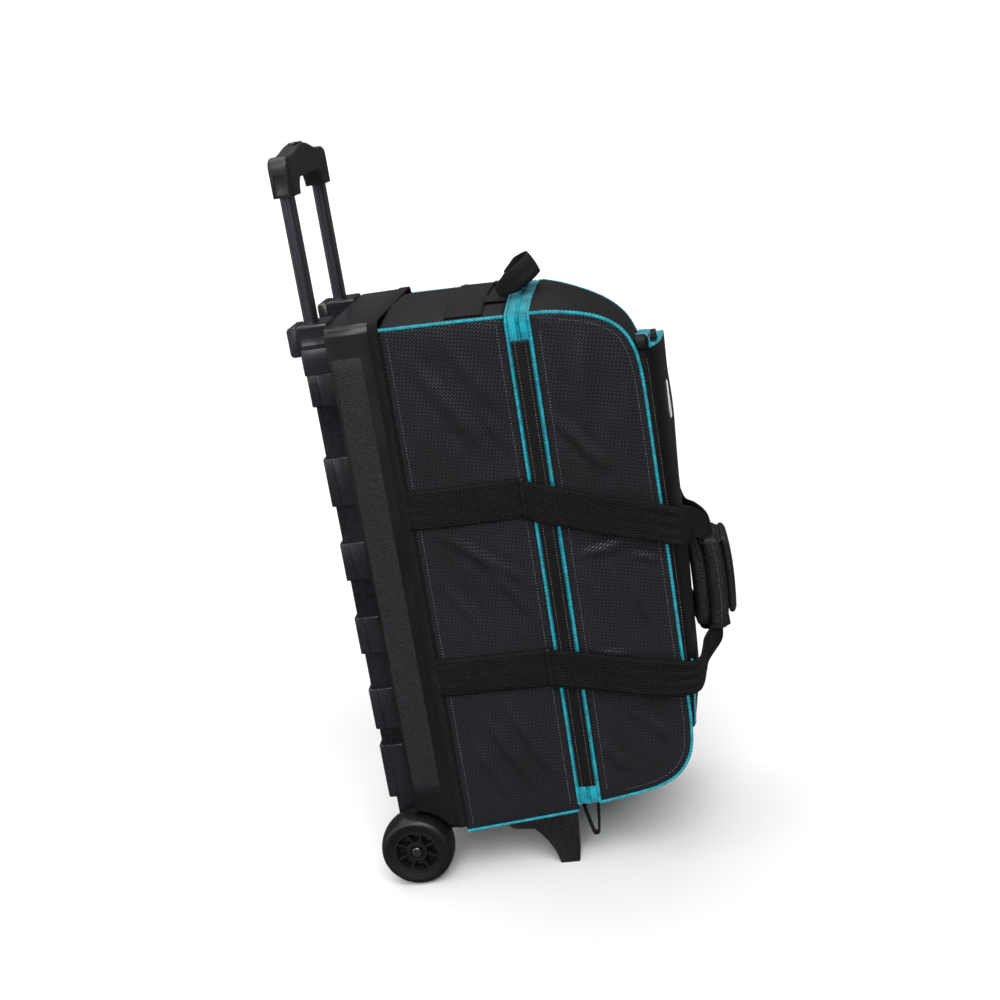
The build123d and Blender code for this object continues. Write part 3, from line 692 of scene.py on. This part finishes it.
def round_band(name, grow, step, sections, material):
    """Ring that goes round the body. sections holds (y, height) pairs."""
    loop, out = band_loop(grow, step)
    if callable(sections):
        sections = sections(len(loop))
    sections = np.broadcast_to(sections, (len(loop), *sections.shape[-2:]))
    xz = loop[:, None] + out[:, None] * sections[..., 1:2]
    rings = np.stack([xz[..., 0], sections[..., 0], xz[..., 1]], -1)
    return tube(name, settle(rings), material, closed=True)


def zip_tape_profile(start, end):
    """Ribbed zip tape from one edge to the other, closed underneath."""
    y = np.linspace(start, end, 31)
    ribs = 0.2 + 1.0 * np.abs(np.sin(math.pi * (y - start) / (end - start) * 3))
    top = np.column_stack([y, ribs])
    return np.vstack([top, [(end, -1.6), (start, -1.6)]])


def zip_teeth(name, y_low, y_high, shift):
    """Row of coil teeth all round the zip."""
    loop, out = band_loop(0, 0.9)
    start = int(shift)
    loop, out = loop[start::2], out[start::2]
    along = tangents(loop, True)
    wide, narrow, low, high = 0.55, 0.3, -0.4, 1.5
    corners = [(wide, y_low, low), (wide, y_high, low), (-wide, y_high, low), (-wide, y_low, low),
               (narrow, y_low, high), (narrow, y_high, high), (-narrow, y_high, high), (-narrow, y_low, high)]
    points = []
    for a, y, h in corners:
        xz = loop + along * a + out * h
        points.append(np.column_stack([xz[:, 0], np.full(len(xz), y), xz[:, 1]]))
    points = np.stack(points, 1)
    sides = [(4, 5, 6, 7), (0, 1, 5, 4), (1, 2, 6, 5), (2, 3, 7, 6), (3, 0, 4, 7), (3, 2, 1, 0)]
    faces = [tuple(8 * i + k for k in side) for i in range(len(points)) for side in sides]
    return build(name, points, faces, "teeth")


def main_zip():
    for half, body, pipe_y, edge_y, sign in (
        ("rear", "root", PIPE_REAR_Y, -18.2, 1), ("front", "lid", PIPE_FRONT_Y, -40.8, -1),
    ):
        inner_y = ZIP_MID + sign * 1.9

        def cord(count, pipe_y=pipe_y):
            section = rope_section(count)
            return np.stack([pipe_y + section[..., 1], section[..., 0]], -1)

        attach(round_band(f"zip_cord_{half}", 0.2, ROPE_STEP, cord, "rope"), body, "teal_trim",
               f"zip_piping_{half}")
        profile = zip_tape_profile(edge_y, inner_y)
        attach(round_band(f"zip_tape_cloth_{half}", -0.4, 3.0, profile, "tape"), body, "teal_trim",
               f"zip_tape_{half}")
        low, high = sorted((ZIP_MID - sign * 0.5, ZIP_MID + sign * 2.1))
        attach(zip_teeth(f"zip_teeth_{half}", low, high, half == "rear"), body, "teal_trim")


def zip_cover():
    """Black strip over the near side of the zip, and the cloth hinge on the far side."""
    z, v = np.meshgrid(np.linspace(115, 693, 190), np.linspace(0, 1, 11), indexing="ij")
    y = -19.0 - 21.0 * v
    ridge = 0.7 * np.exp(-((v - 0.5) / 0.12) ** 2) + 0.25 * np.sin(z / 31) * np.sin(math.pi * v)
    x = SIDE + 1.9 + ridge
    attach(cloth_piece("zip_flap_cloth", np.stack([-x, y, z], -1), "gusset", 1.0), "root", "body_fabric",
           "zip_flap")
    outer = -SIDE - 2.7
    lines = [np.array([(outer, at, 118), (outer, at, 690)]) for at in (-23.4, -35.4)]
    stitches("zip_flap_stitches", [(line, (-1, 0, 0)) for line in lines], "thread", "root")
    z, v = np.meshgrid(np.linspace(96, 712, 120), np.linspace(0, 1, 15), indexing="ij")
    y = -17.6 - 23.8 * v
    x = SIDE + 1.7 + 0.8 * np.sin(math.pi * v)
    hinge = cloth_piece("hinge_cloth", np.stack([x, y, z], -1), "gusset", 1.0)
    attach(hinge, None, "body_fabric")
    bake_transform(hinge)


# ---------------------------------------------------------------- tray trim
def rounded_loop(half, low, high, radius, y, step):
    """Closed loop of a rounded rectangle across the bag."""
    turns = [(half - radius, high - radius, 90), (half - radius, low + radius, 0),
             (-half + radius, low + radius, -90), (-half + radius, high - radius, 180)]
    dense = []
    for x, z, start in turns:
        turn = np.radians(np.linspace(start, start - 90, 9))
        dense.append(np.column_stack([x + radius * np.cos(turn), z + radius * np.sin(turn)]))
    loop = even(np.vstack(dense), step, closed=True)
    return np.column_stack([loop[:, 0], np.full(len(loop), y), loop[:, 1]])


def tray_binding():
    """Folded webbing that joins the cloth to the tray."""
    loop = rounded_loop(SIDE, 68, 737, 12, 139.0, 4.0)
    along = tangents(loop, True)
    out = unit(np.cross(np.array([0, 1.0, 0]), along))
    v = np.linspace(-6.4, 6.4, 15)
    height = 1.1 + 0.9 * np.abs(np.sin(math.pi * (v + 6.4) / 6.4)) ** 0.7
    section = np.vstack([np.column_stack([v, height]), [(6.4, -1.5), (-6.4, -1.5)]])
    raised = out[:, None] * section[None, :, 1:2]
    rings = loop[:, None] + raised + np.array([0, 1.0, 0]) * section[None, :, 0:1]
    rows, cols = rings.shape[:2]
    run = np.arange(rows) * 4.0
    uv = np.stack(np.meshgrid(run, section[:, 0], indexing="ij"), -1)
    piece = build("binding_cloth", rings, grid_faces(rows, cols, True, True), "binding", uv)
    attach(piece, "root", "webbing", "tray_binding")
    seams = []
    for sign in (-1, 1):
        x = sign * (SIDE + 2.1)
        seams.append((np.array([(x, 136, 80), (x, 136, 725)]), (sign, 0, 0)))
    stitches("binding_stitches", seams, "black_thread", "root", "webbing")


def rounded_block(low, high, radius, puff=0.0, cells=14):
    """Points and faces of a block with rounded edges and crowned faces."""
    low, high = np.array(low, float), np.array(high, float)
    half, middle = (high - low) / 2, (high + low) / 2
    mesh = bmesh.new()
    bmesh.ops.create_cube(mesh, size=2.0)
    bmesh.ops.subdivide_edges(mesh, edges=mesh.edges[:], cuts=cells, use_grid_fill=True)
    spots = np.array([v.co for v in mesh.verts])
    faces = [tuple(v.index for v in f.verts) for f in mesh.faces]
    mesh.free()
    eased = np.sin(spots * math.pi / 2) * 0.35 + spots * 0.65
    full = eased * half
    inner = np.clip(full, radius - half, half - radius)
    points = inner + radius * unit(full - inner)
    for axis in range(3):
        others = [k for k in range(3) if k != axis]
        on_face = np.abs(spots[:, axis]) > 0.999
        crown = (1 - spots[:, others[0]] ** 2) * (1 - spots[:, others[1]] ** 2)
        points[on_face, axis] += np.sign(spots[on_face, axis]) * puff * crown[on_face]
    return points + middle, faces


def tray_panels():
    """Grained panel pressed into each side of the tray."""
    for side, sign in (("left", -1), ("right", 1)):
        x = sorted((sign * (SIDE - 0.6), sign * (SIDE + 0.7)))
        points, faces = rounded_block((x[0], 158, 122), (x[1], 193.5, 699), 0.6, 0.0, 20)
        attach(build(f"tray_panel_{side}", points, faces, "tray_panel"), "root", "tray")


# ---------------------------------------------------------------- straps
# Plan (x, y) of the left strap, then the edges of its flat shape as (run along the plan, height).
PLAN = even(through([
    (-139.8, -3), (-141.4, -16), (-143.2, -40), (-145.5, -75), (-147.3, -110), (-148.0, -144), (-145, -170),
    (-134, -185), (-112, -191.5), (-80, -195.5), (-56, -199.5), (-39, -208.5), (-20, -221), (-2, -224.5),
]), 1.0)
STRAP_LEVELS = ((480, 530), (259, 309))
FAR_STRAP_SLACK = 46.0
WRAP_MID, WRAP_BOW = 328.0, 4.0
STRAP_OUTER = [(0, 529), (24, 521), (64, 509), (104, 497), (150, 485), (196, 466), (238, 455), (283, 436),
               (318, 405), (331, 375), (331, 327), (331, 282), (318, 252), (275, 234), (232, 229),
               (196, 229), (150, 232), (104, 239), (64, 247), (24, 255), (0, 258)]
STRAP_INNER = [(0, 479), (24, 471), (64, 459), (104, 447), (150, 435), (196, 417), (238, 408), (270, 400),
               (294, 388), (303, 366), (303, 327), (303, 296), (294, 277), (268, 266), (232, 263),
               (196, 268), (150, 281), (104, 289), (64, 297), (24, 305), (0, 308)]


def strap_grid(slack=0.0, cols=11):
    """Free carry strap: two runs along the side, turned into one piece at the hand wrap.

    slack lowers the front of the upper run.
    """
    outer, inner = through(STRAP_OUTER, fine=14), through(STRAP_INNER, fine=14)
    for edge in (outer, inner):
        upper = edge[:, 1] > 345
        edge[upper, 1] -= slack * np.exp(-((edge[upper, 0] - 215) / 72) ** 2)
    v = np.linspace(0, 1, cols)[None, :, None]
    flat = outer[:, None] * (1 - v) + inner[:, None] * v
    run = np.arange(len(PLAN), dtype=float)
    xy = np.stack([np.interp(flat[..., 0], run, PLAN[:, k]) for k in (0, 1)], -1)
    along = tangents(PLAN, False)
    out = np.stack([-along[:, 1], along[:, 0]], -1)
    cup = 0.9 * np.sin(math.pi * v[..., 0]) + 0.5 * np.sin(flat[..., 0] / 23 + flat[..., 1] / 40)
    cup = cup * np.clip(flat[..., 0] / 25, 0, 1) * np.clip((290 - flat[..., 0]) / 40, 0, 1)
    push = np.stack([np.interp(flat[..., 0], run, out[:, k]) for k in (0, 1)], -1)
    xy = xy + push * cup[..., None]
    return np.concatenate([xy, flat[..., 1:2]], -1)


def sewn_strap(side, sign):
    """The two sewn-down runs of a carry strap, each with the fold at its free end."""
    pieces = []
    for low, high in STRAP_LEVELS:
        y, v = np.meshgrid(np.linspace(136, -4, 60), np.linspace(0, 1, 9), indexing="ij")
        z = low + (high - low) * v
        x = skin(y, z, False)
        x = x.max(1, keepdims=True) * 0.6 + x * 0.4 + 2.1 + 0.25 * np.sin(math.pi * v)
        band = np.stack([sign * x, y, z], -1)
        pieces.append(cloth_piece(f"sewn_{side}_{low}", band, "webbing", 2.2))
        roll = even([(sign * 140.0, -6.5, low - 0.5), (sign * 140.0, -6.5, high + 0.5)], 4.0)
        rings = sweep(roll, oval(2.9, 3.6, 12), np.array([sign, 0, 0.0]))
        pieces.append(tube(f"fold_{side}_{low}", rings, "webbing"))
    attach(join(f"sewn_strap_cloth_{side}", pieces), "root", "webbing", f"sewn_straps_{side}")


def sewn_strap_stitches(side, sign):
    """A row of stitches along each edge of the sewn-down runs."""
    y = np.linspace(124, 4, 30)
    rows = []
    for low, high in STRAP_LEVELS:
        for z in (low + 3, high - 3):
            level = np.full(len(y), float(z))
            x = skin(y, level, False) + 3.6
            rows.append((np.column_stack([sign * x, y, level]), (sign, 0, 0)))
    stitches(f"sewn_strap_stitches_{side}", rows, "black_thread", "root", "webbing")


def carry_straps():
    """The free loop of each carry strap, and its sewn-down runs."""
    grid = strap_grid()
    left = attach(cloth_piece("carry_strap_cloth_left", grid, "webbing", 2.4), None, "webbing",
                  "carry_strap_left")
    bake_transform(left)
    far = mirror_points(strap_grid(FAR_STRAP_SLACK))
    right = attach(cloth_piece("carry_strap_cloth_right", far, "webbing", 2.4), None, "webbing",
                   "carry_strap_right")
    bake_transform(right)
    for side, sign in (("left", -1), ("right", 1)):
        sewn_strap(side, sign)
        sewn_strap_stitches(side, sign)


def inflate(obj, cap):
    """Lets a padded piece swell as cloth under pressure. No point moves further than cap."""
    before = np.array([v.co for v in obj.data.vertices])
    cloth = obj.modifiers.new("swell", "CLOTH")
    cloth.settings.quality = 5
    cloth.settings.use_pressure = True
    cloth.settings.uniform_pressure_force = 4.0
    cloth.settings.effector_weights.gravity = 0.0
    cloth.settings.bending_stiffness = 4.0
    for step in range(1, 16):
        scene.frame_set(step)
    graph = bpy.context.evaluated_depsgraph_get()
    after = np.array([v.co for v in obj.evaluated_get(graph).data.vertices])
    obj.modifiers.clear()
    scene.frame_set(1)
    move = after - before
    far = np.linalg.norm(move, axis=1, keepdims=True)
    move = move * np.minimum(1, cap * MM / np.maximum(far, 1e-9))
    obj.data.vertices.foreach_set("co", (before + move).astype(np.float32).ravel())
    obj.data.update()
    return obj


def bow(points):
    """Bends the ends of the hand wrap back towards the bag."""
    bend = WRAP_BOW * np.abs((points[:, 2] - WRAP_MID) / 60) ** 3
    return points + np.array([0, 1.0, 0]) * bend[:, None]


def pad(name, low, high, radius, puff, cap, body, fill, *nodes):
    points, faces = rounded_block(low, high, radius, puff)
    piece = inflate(build(name, bow(points), faces, "wrap"), cap)
    smooth = piece.modifiers.new("fine", "SUBSURF")
    smooth.levels = smooth.render_levels = 1
    bake(piece)
    attach(piece, body, "wrap_leatherette", *nodes)
    return piece


def wrap_row(x, y, low, high, count=30):
    """Upright line of stitches on the hand wrap."""
    return bow(np.column_stack([np.full(count, x), np.full(count, y), np.linspace(low, high, count)]))


def wrap_side_trim(side, sign, body):
    """Stitches down one half of the hand wrap, and its two hems."""
    rows = [(wrap_row(sign * 37.2, -226.0, 274, 382), (sign, 0, 0))]
    stitches(f"wrap_stitches_{side}", rows, "thread", body, "wrap_leatherette")
    hem = [(sign * 1.5, -235.4), (sign * 31, -235.4), (sign * 36.4, -230), (sign * 36.4, -218),
           (sign * 31, -212.6), (sign * 1.5, -212.6)]
    for end, level in (("low", 271.0), ("high", 385.0)):
        path = bow(np.array([(x, y, level) for x, y in even(hem, 2.0)]))
        rings = sweep(path, oval(0.9, 3.0, 10), np.array([0, 0, 1.0]))
        attach(tube(f"wrap_hem_{side}_{end}", rings, "wrap"), body, "wrap_leatherette")


def hand_wrap():
    """Padded grip that holds both carry straps together, and its closing cover."""
    pad("wrap_cuff_left", (-36, -235, 266), (-0.8, -213, 390), 6, 0.8, 1.5, "strap_left", 0.7,
        "wrap_pad_left")
    pad("wrap_cuff_right", (0.8, -235, 266), (36, -213, 390), 6, 0.8, 1.5, "lid", 0.7, "wrap_pad_right")
    pad("wrap_inner", (-31, -211.5, 272), (34, -194, 396), 6, 0.6, 1.0, "lid", 0.6)
    pad("wrap_cover", (-26, -245.5, 283), (36.5, -236, 388), 4.6, 1.2, 0.8, "lid", 0.6, "wrap_flap")
    for side, sign, body in (("left", -1, "strap_left"), ("right", 1, "lid")):
        wrap_side_trim(side, sign, body)
    rows = [(wrap_row(x, -245.9, 290, 381), (0, -1, 0)) for x in (-21.5, 32.0)]
    stitches("wrap_cover_stitches", rows, "thread", "lid", "wrap_leatherette")


# ---------------------------------------------------------------- shoe pocket
def pocket_back(z):
    """Depth of the pocket's rear seam at a height."""
    return np.interp(z, [178, 500, 640, 668], [-170.0, -166.3, -163.5, -161.0])


def pocket_plan(z, count):
    """Plan curve of the pocket at a height, from its left seam round to its right seam."""
    front = np.interp(z, [178, 225, 350, 547, 668], [-177.0, -188.0, -190.5, -193.5, -192.5])
    back = pocket_back(z)
    turn = np.linspace(0, math.pi, count)
    power = 2 / 2.9
    x = -POCKET_HALF * np.sign(np.cos(turn)) * np.abs(np.cos(turn)) ** power
    y = back + (front - back) * np.abs(np.sin(turn)) ** power
    return x, y


def settle_pocket(points):
    """Lets the far end of the shoe pocket's mouth sink."""
    x, z = points[..., 0], points[..., 2]
    drop = POCKET_SAG * ease((x + 72) / 190) * ease((z - 552) / 105)
    return points - np.array([0, 0, 1.0]) * drop[..., None]


def pocket_grid(heights, cols=110):
    points = []
    for z in heights:
        x, y = pocket_plan(z, cols)
        sag = 0.9 * np.sin(x / 41 + z / 57) + 0.7 * np.sin(z / 23 - x / 60)
        y = y + sag * np.clip((z - 200) / 200, 0, 1) * (1 - np.abs(x / POCKET_HALF) ** 3) * 0.9
        points.append(np.column_stack([x, y, np.full(cols, z)]))
    return settle_pocket(np.stack(points))


def pocket_zip():
    """The two tapes across the pocket's mouth, and the cord round its front edge."""
    x, y = pocket_plan(POCKET_TOP, 150)
    back = pocket_back(POCKET_TOP)
    for name, body, near, far, node in (
        ("front", "mouth", 0.985, 0.52, "pocket_zip_front"), ("back", "lid", 0.48, -0.04, "pocket_zip_back"),
    ):
        share = np.linspace(near, far, 19)
        lift = 1.2 + 0.9 * np.abs(np.sin(math.pi * (share - near) / (far - near) * 3))
        strip = np.stack([
            np.column_stack([x * (0.94 + 0.06 * s), back + (y - back) * s, np.full(len(x), POCKET_TOP + h)])
            for s, h in zip(share, lift)
        ])
        strip = settle_pocket(strip)
        attach(cloth_piece(f"pocket_zip_cloth_{name}", strip, "tape", 1.0), body, "teal_trim", node)
    line = settle_pocket(np.column_stack([x, y, np.full(len(x), POCKET_TOP + 0.6)]))
    attach(rope("pocket_top_cord", line, (0, 0, 1)), "mouth", "teal_trim")


def pocket_side_trim(side, sign):
    """Low cord and seam stitches on one side of the pocket."""
    heights = np.linspace(POCKET_LOW + 3, 268, 40)
    path = []
    for z in heights:
        px, py = pocket_plan(z, 60)
        spot = 6 + int(max(0.0, z - 250) / 8)
        path.append((sign * px[spot], py[spot] - 0.6, z))
    attach(rope(f"pocket_low_cord_{side}", np.array(path), (-sign, 0, 0)), "lid", "teal_trim")
    z = np.linspace(215, 650, 80)
    seam = pocket_back(z)
    depth = np.interp(z, [215, 350, 640], [3.5, 6.5, 8.5])
    upper = z > 548
    for part, chosen, body in (("low", ~upper, "lid"), ("high", upper, "mouth")):
        row = np.column_stack([np.full(chosen.sum(), -sign * (POCKET_HALF + 0.6)), (seam - depth)[chosen],
                               z[chosen]])
        stitches(f"pocket_stitches_{part}_{side}", [(settle_pocket(row), (-sign, 0, 0))], "thread", body)


def shoe_pocket():
    """Pocket panel with its zip, side trim, zip garage and badge."""
    grid = pocket_grid(np.linspace(POCKET_LOW, POCKET_TOP, 150))
    panel = attach(cloth_piece("pocket_cloth", grid, "pocket", 1.6), None, "body_fabric", "shoe_pocket",
                   "pocket_mouth")
    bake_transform(panel)
    pocket_zip()
    for side, sign in (("left", 1), ("right", -1)):
        pocket_side_trim(side, sign)
    points, faces = rounded_block((-133, -175, 660), (-110, -158, 677), 5.0, 0.8, 8)
    attach(build("pocket_zip_garage", points, faces, "gusset"), "lid", "body_fabric")
    pin_badge()


def pin_badge():
    """Stitched badge on the pocket: the outline of a plain bowling pin."""
    half = [(0.0, -22), (4.6, -21.6), (6.2, -15), (6.4, -8), (4.8, 1), (2.6, 8), (2.7, 12), (3.8, 16.5),
            (2.6, 21), (0.0, 22.4)]
    outline = through(half + [(-a, b) for a, b in half[-2:0:-1]], closed=True)
    loop = even(outline, 1.2, closed=True)
    x, z = BADGE_X + loop[:, 0], BADGE_Z + loop[:, 1]
    y = np.array([np.interp(a, *pocket_plan(b, 110)) for a, b in zip(x, z)]) - 0.6
    rings = sweep(np.column_stack([x, y, z]), oval(0.7, 1.0, 8), np.array([0, -1.0, 0]), True)
    attach(tube("badge_pin", rings, "white_thread", closed=True), "mouth", "teal_trim")


# ---------------------------------------------------------------- top handle and small trim
def top_patch():
    """Webbing patch across the top, and the handle's sewn ends."""
    x, y = np.meshgrid(np.linspace(-124, 124, 90), np.linspace(11, 56, 9), indexing="ij")
    patch = np.stack([x, y, top_height(x, y) + 2.4], -1)
    attach(cloth_piece("patch_cloth", patch, "webbing", 1.6), "root", "webbing", "top_patch")
    rows = []
    for depth in (14.0, 53.0):
        line, level = x[:, 0], np.full(len(x), depth)
        rows.append((np.column_stack([line, level, top_height(line, level) + 3.3]), (0, 0, 1)))
    stitches("patch_stitches", rows, "black_thread", "root", "webbing")
    tabs = []
    for sign in (-1, 1):
        middle = sign * 66
        x, y = np.meshgrid(np.linspace(middle - 14, middle + 14, 9), np.linspace(-13, 12, 9), indexing="ij")
        tab = np.stack([x, y, top_height(x, y) + 3.4], -1)
        tabs.append(cloth_piece(f"tab_{sign}", tab, "webbing", 3.4))
    attach(join("handle_tab_cloth", tabs), "root", "webbing", "handle_tabs")


def top_handle():
    """Grab handle that leans over towards the front."""
    lean = math.radians(63)
    rise = np.array([0, -math.sin(lean), math.cos(lean)])
    wide = np.array([0, math.cos(lean), math.sin(lean)])
    arch = even(through([(-68, 1.5), (-59, 27), (-33, 42), (0, 47.5), (33, 42), (59, 27), (68, 1.5)]), 2.0)
    spine = arch[:, :1] * np.array([1.0, 0, 0]) + arch[:, 1:] * rise + np.array([0, -3.5, 741])
    width = np.interp(arch[:, 1], [1.5, 22], [13, 28])
    across = np.linspace(-0.5, 0.5, 7)
    curl = 1.2 * (1 - (2 * across) ** 2)
    inward = unit(-arch + (0, 10))
    lift = inward[:, :1] * np.array([1.0, 0, 0]) + inward[:, 1:] * rise
    band = spine[:, None] + (width[:, None] * across)[..., None] * wide - lift[:, None] * curl[None, :, None]
    attach(cloth_piece("top_handle_cloth", band, "webbing", 3.0), "top_loop", "webbing", "top_handle")


def pull_loop():
    """Ribbon loop that hangs at the foot of the zip."""
    outline = through([(-18.0, 77.6), (-20.3, 60), (-26.5, 31.5), (-30, 28.6), (-33.3, 32), (-36.4, 60),
                       (-38, 77.6)])
    path = even(outline, 2.0)
    path = np.column_stack([np.full(len(path), -103.0), path])
    half = np.interp(path[:, 2], [68, 77], [3.6, 1.6])
    across = np.linspace(-1, 1, 5)
    band = path[:, None] + (half[:, None] * across)[..., None] * np.array([1.0, 0, 0])
    attach(cloth_piece("pull_loop_cloth", band, "webbing", 3.4), "bottom_loop", "webbing", "pull_loop")
    points, faces = rounded_block((-110, -37, 79.3), (-96, -18, 87), 2.5, 0.4, 6)
    attach(build("pull_loop_tab", points, faces, "binding"), "root", "webbing", "pull_loop_anchor")


# ---------------------------------------------------------------- floor, light, camera
def stage():
    """Pale floor, and a world that is white to the camera and dim as a light."""
    net = Net("floor")
    at = net.coords()
    tone = net.mix(net.noise(at, 3.0), (0.86, 0.86, 0.865), (0.9, 0.9, 0.9))
    net.finish(tone, 0.85, net.noise(at, 60.0), 0.0005, 0.1)
    mesh = bpy.data.meshes.new("floor")
    size = 30.0
    corners = [(-size, -size, 0), (size, -size, 0), (size, size, 0), (-size, size, 0)]
    mesh.from_pydata(corners, [], [(0, 1, 2, 3)])
    mesh.materials.append(net.material)
    floor = bpy.data.objects.new("floor", mesh)
    scene.collection.objects.link(floor)
    floor.visible_glossy = False

    world = bpy.data.worlds.new("studio")
    world.use_nodes = True
    tree = world.node_tree
    background = tree.nodes["Background"]
    background.inputs["Color"].default_value = (1.0, 1.0, 1.0, 1.0)
    seen = tree.nodes.new("ShaderNodeLightPath").outputs["Is Camera Ray"]
    strength = tree.nodes.new("ShaderNodeMapRange")
    strength.inputs["To Min"].default_value = AMBIENT
    tree.links.new(seen, strength.inputs["Value"])
    tree.links.new(strength.outputs[0], background.inputs["Strength"])
    scene.world = world
    scene.view_settings.view_transform = "Standard"


AMBIENT = 0.1
LIGHTS = [
    ("key", (-0.75, -0.3, 1.0), 2.3, 45.0),
    ("rear", (-0.6, 0.9, 0.45), 0.9, 60.0),
    ("top", (0.3, 0.2, 1.0), 1.65, 60.0),
    ("side", (-1.0, 0.1, 0.42), 0.9, 30.0),
]


def lights():
    """Broad soft suns. Each comes from the given direction."""
    for name, source, strength, width in LIGHTS:
        data = bpy.data.lights.new(name, "SUN")
        data.energy = strength
        data.angle = math.radians(width)
        lamp = bpy.data.objects.new(name, data)
        lamp.rotation_euler = Vector(source).to_track_quat("Z", "Y").to_euler()
        scene.collection.objects.link(lamp)


CAMERA_AT = (-1.7275, -0.1907, 0.9826)
CAMERA_RIGHT = (0.0862, -0.9845, -0.1525)
CAMERA_UP = (0.29995, -0.1203, 0.9463)


def camera():
    right, up = Vector(CAMERA_RIGHT).normalized(), Vector(CAMERA_UP).normalized()
    back = right.cross(up)
    data = bpy.data.cameras.new("camera")
    data.lens, data.sensor_width = 50.4, 36.0
    data.clip_end = 100.0
    eye = bpy.data.objects.new("camera", data)
    turn = Matrix((right, up, back)).transposed().to_4x4()
    eye.matrix_world = Matrix.Translation(CAMERA_AT) @ turn
    scene.collection.objects.link(eye)
    scene.camera = eye


camera()
lights()
stage()
finish_frame()
side_panels()
rear_gussets()
lid_gusset()
seams_and_cords()
main_zip()
zip_cover()
tray_binding()
tray_panels()
carry_straps()
hand_wrap()
shoe_pocket()
top_patch()
top_handle()
pull_loop()
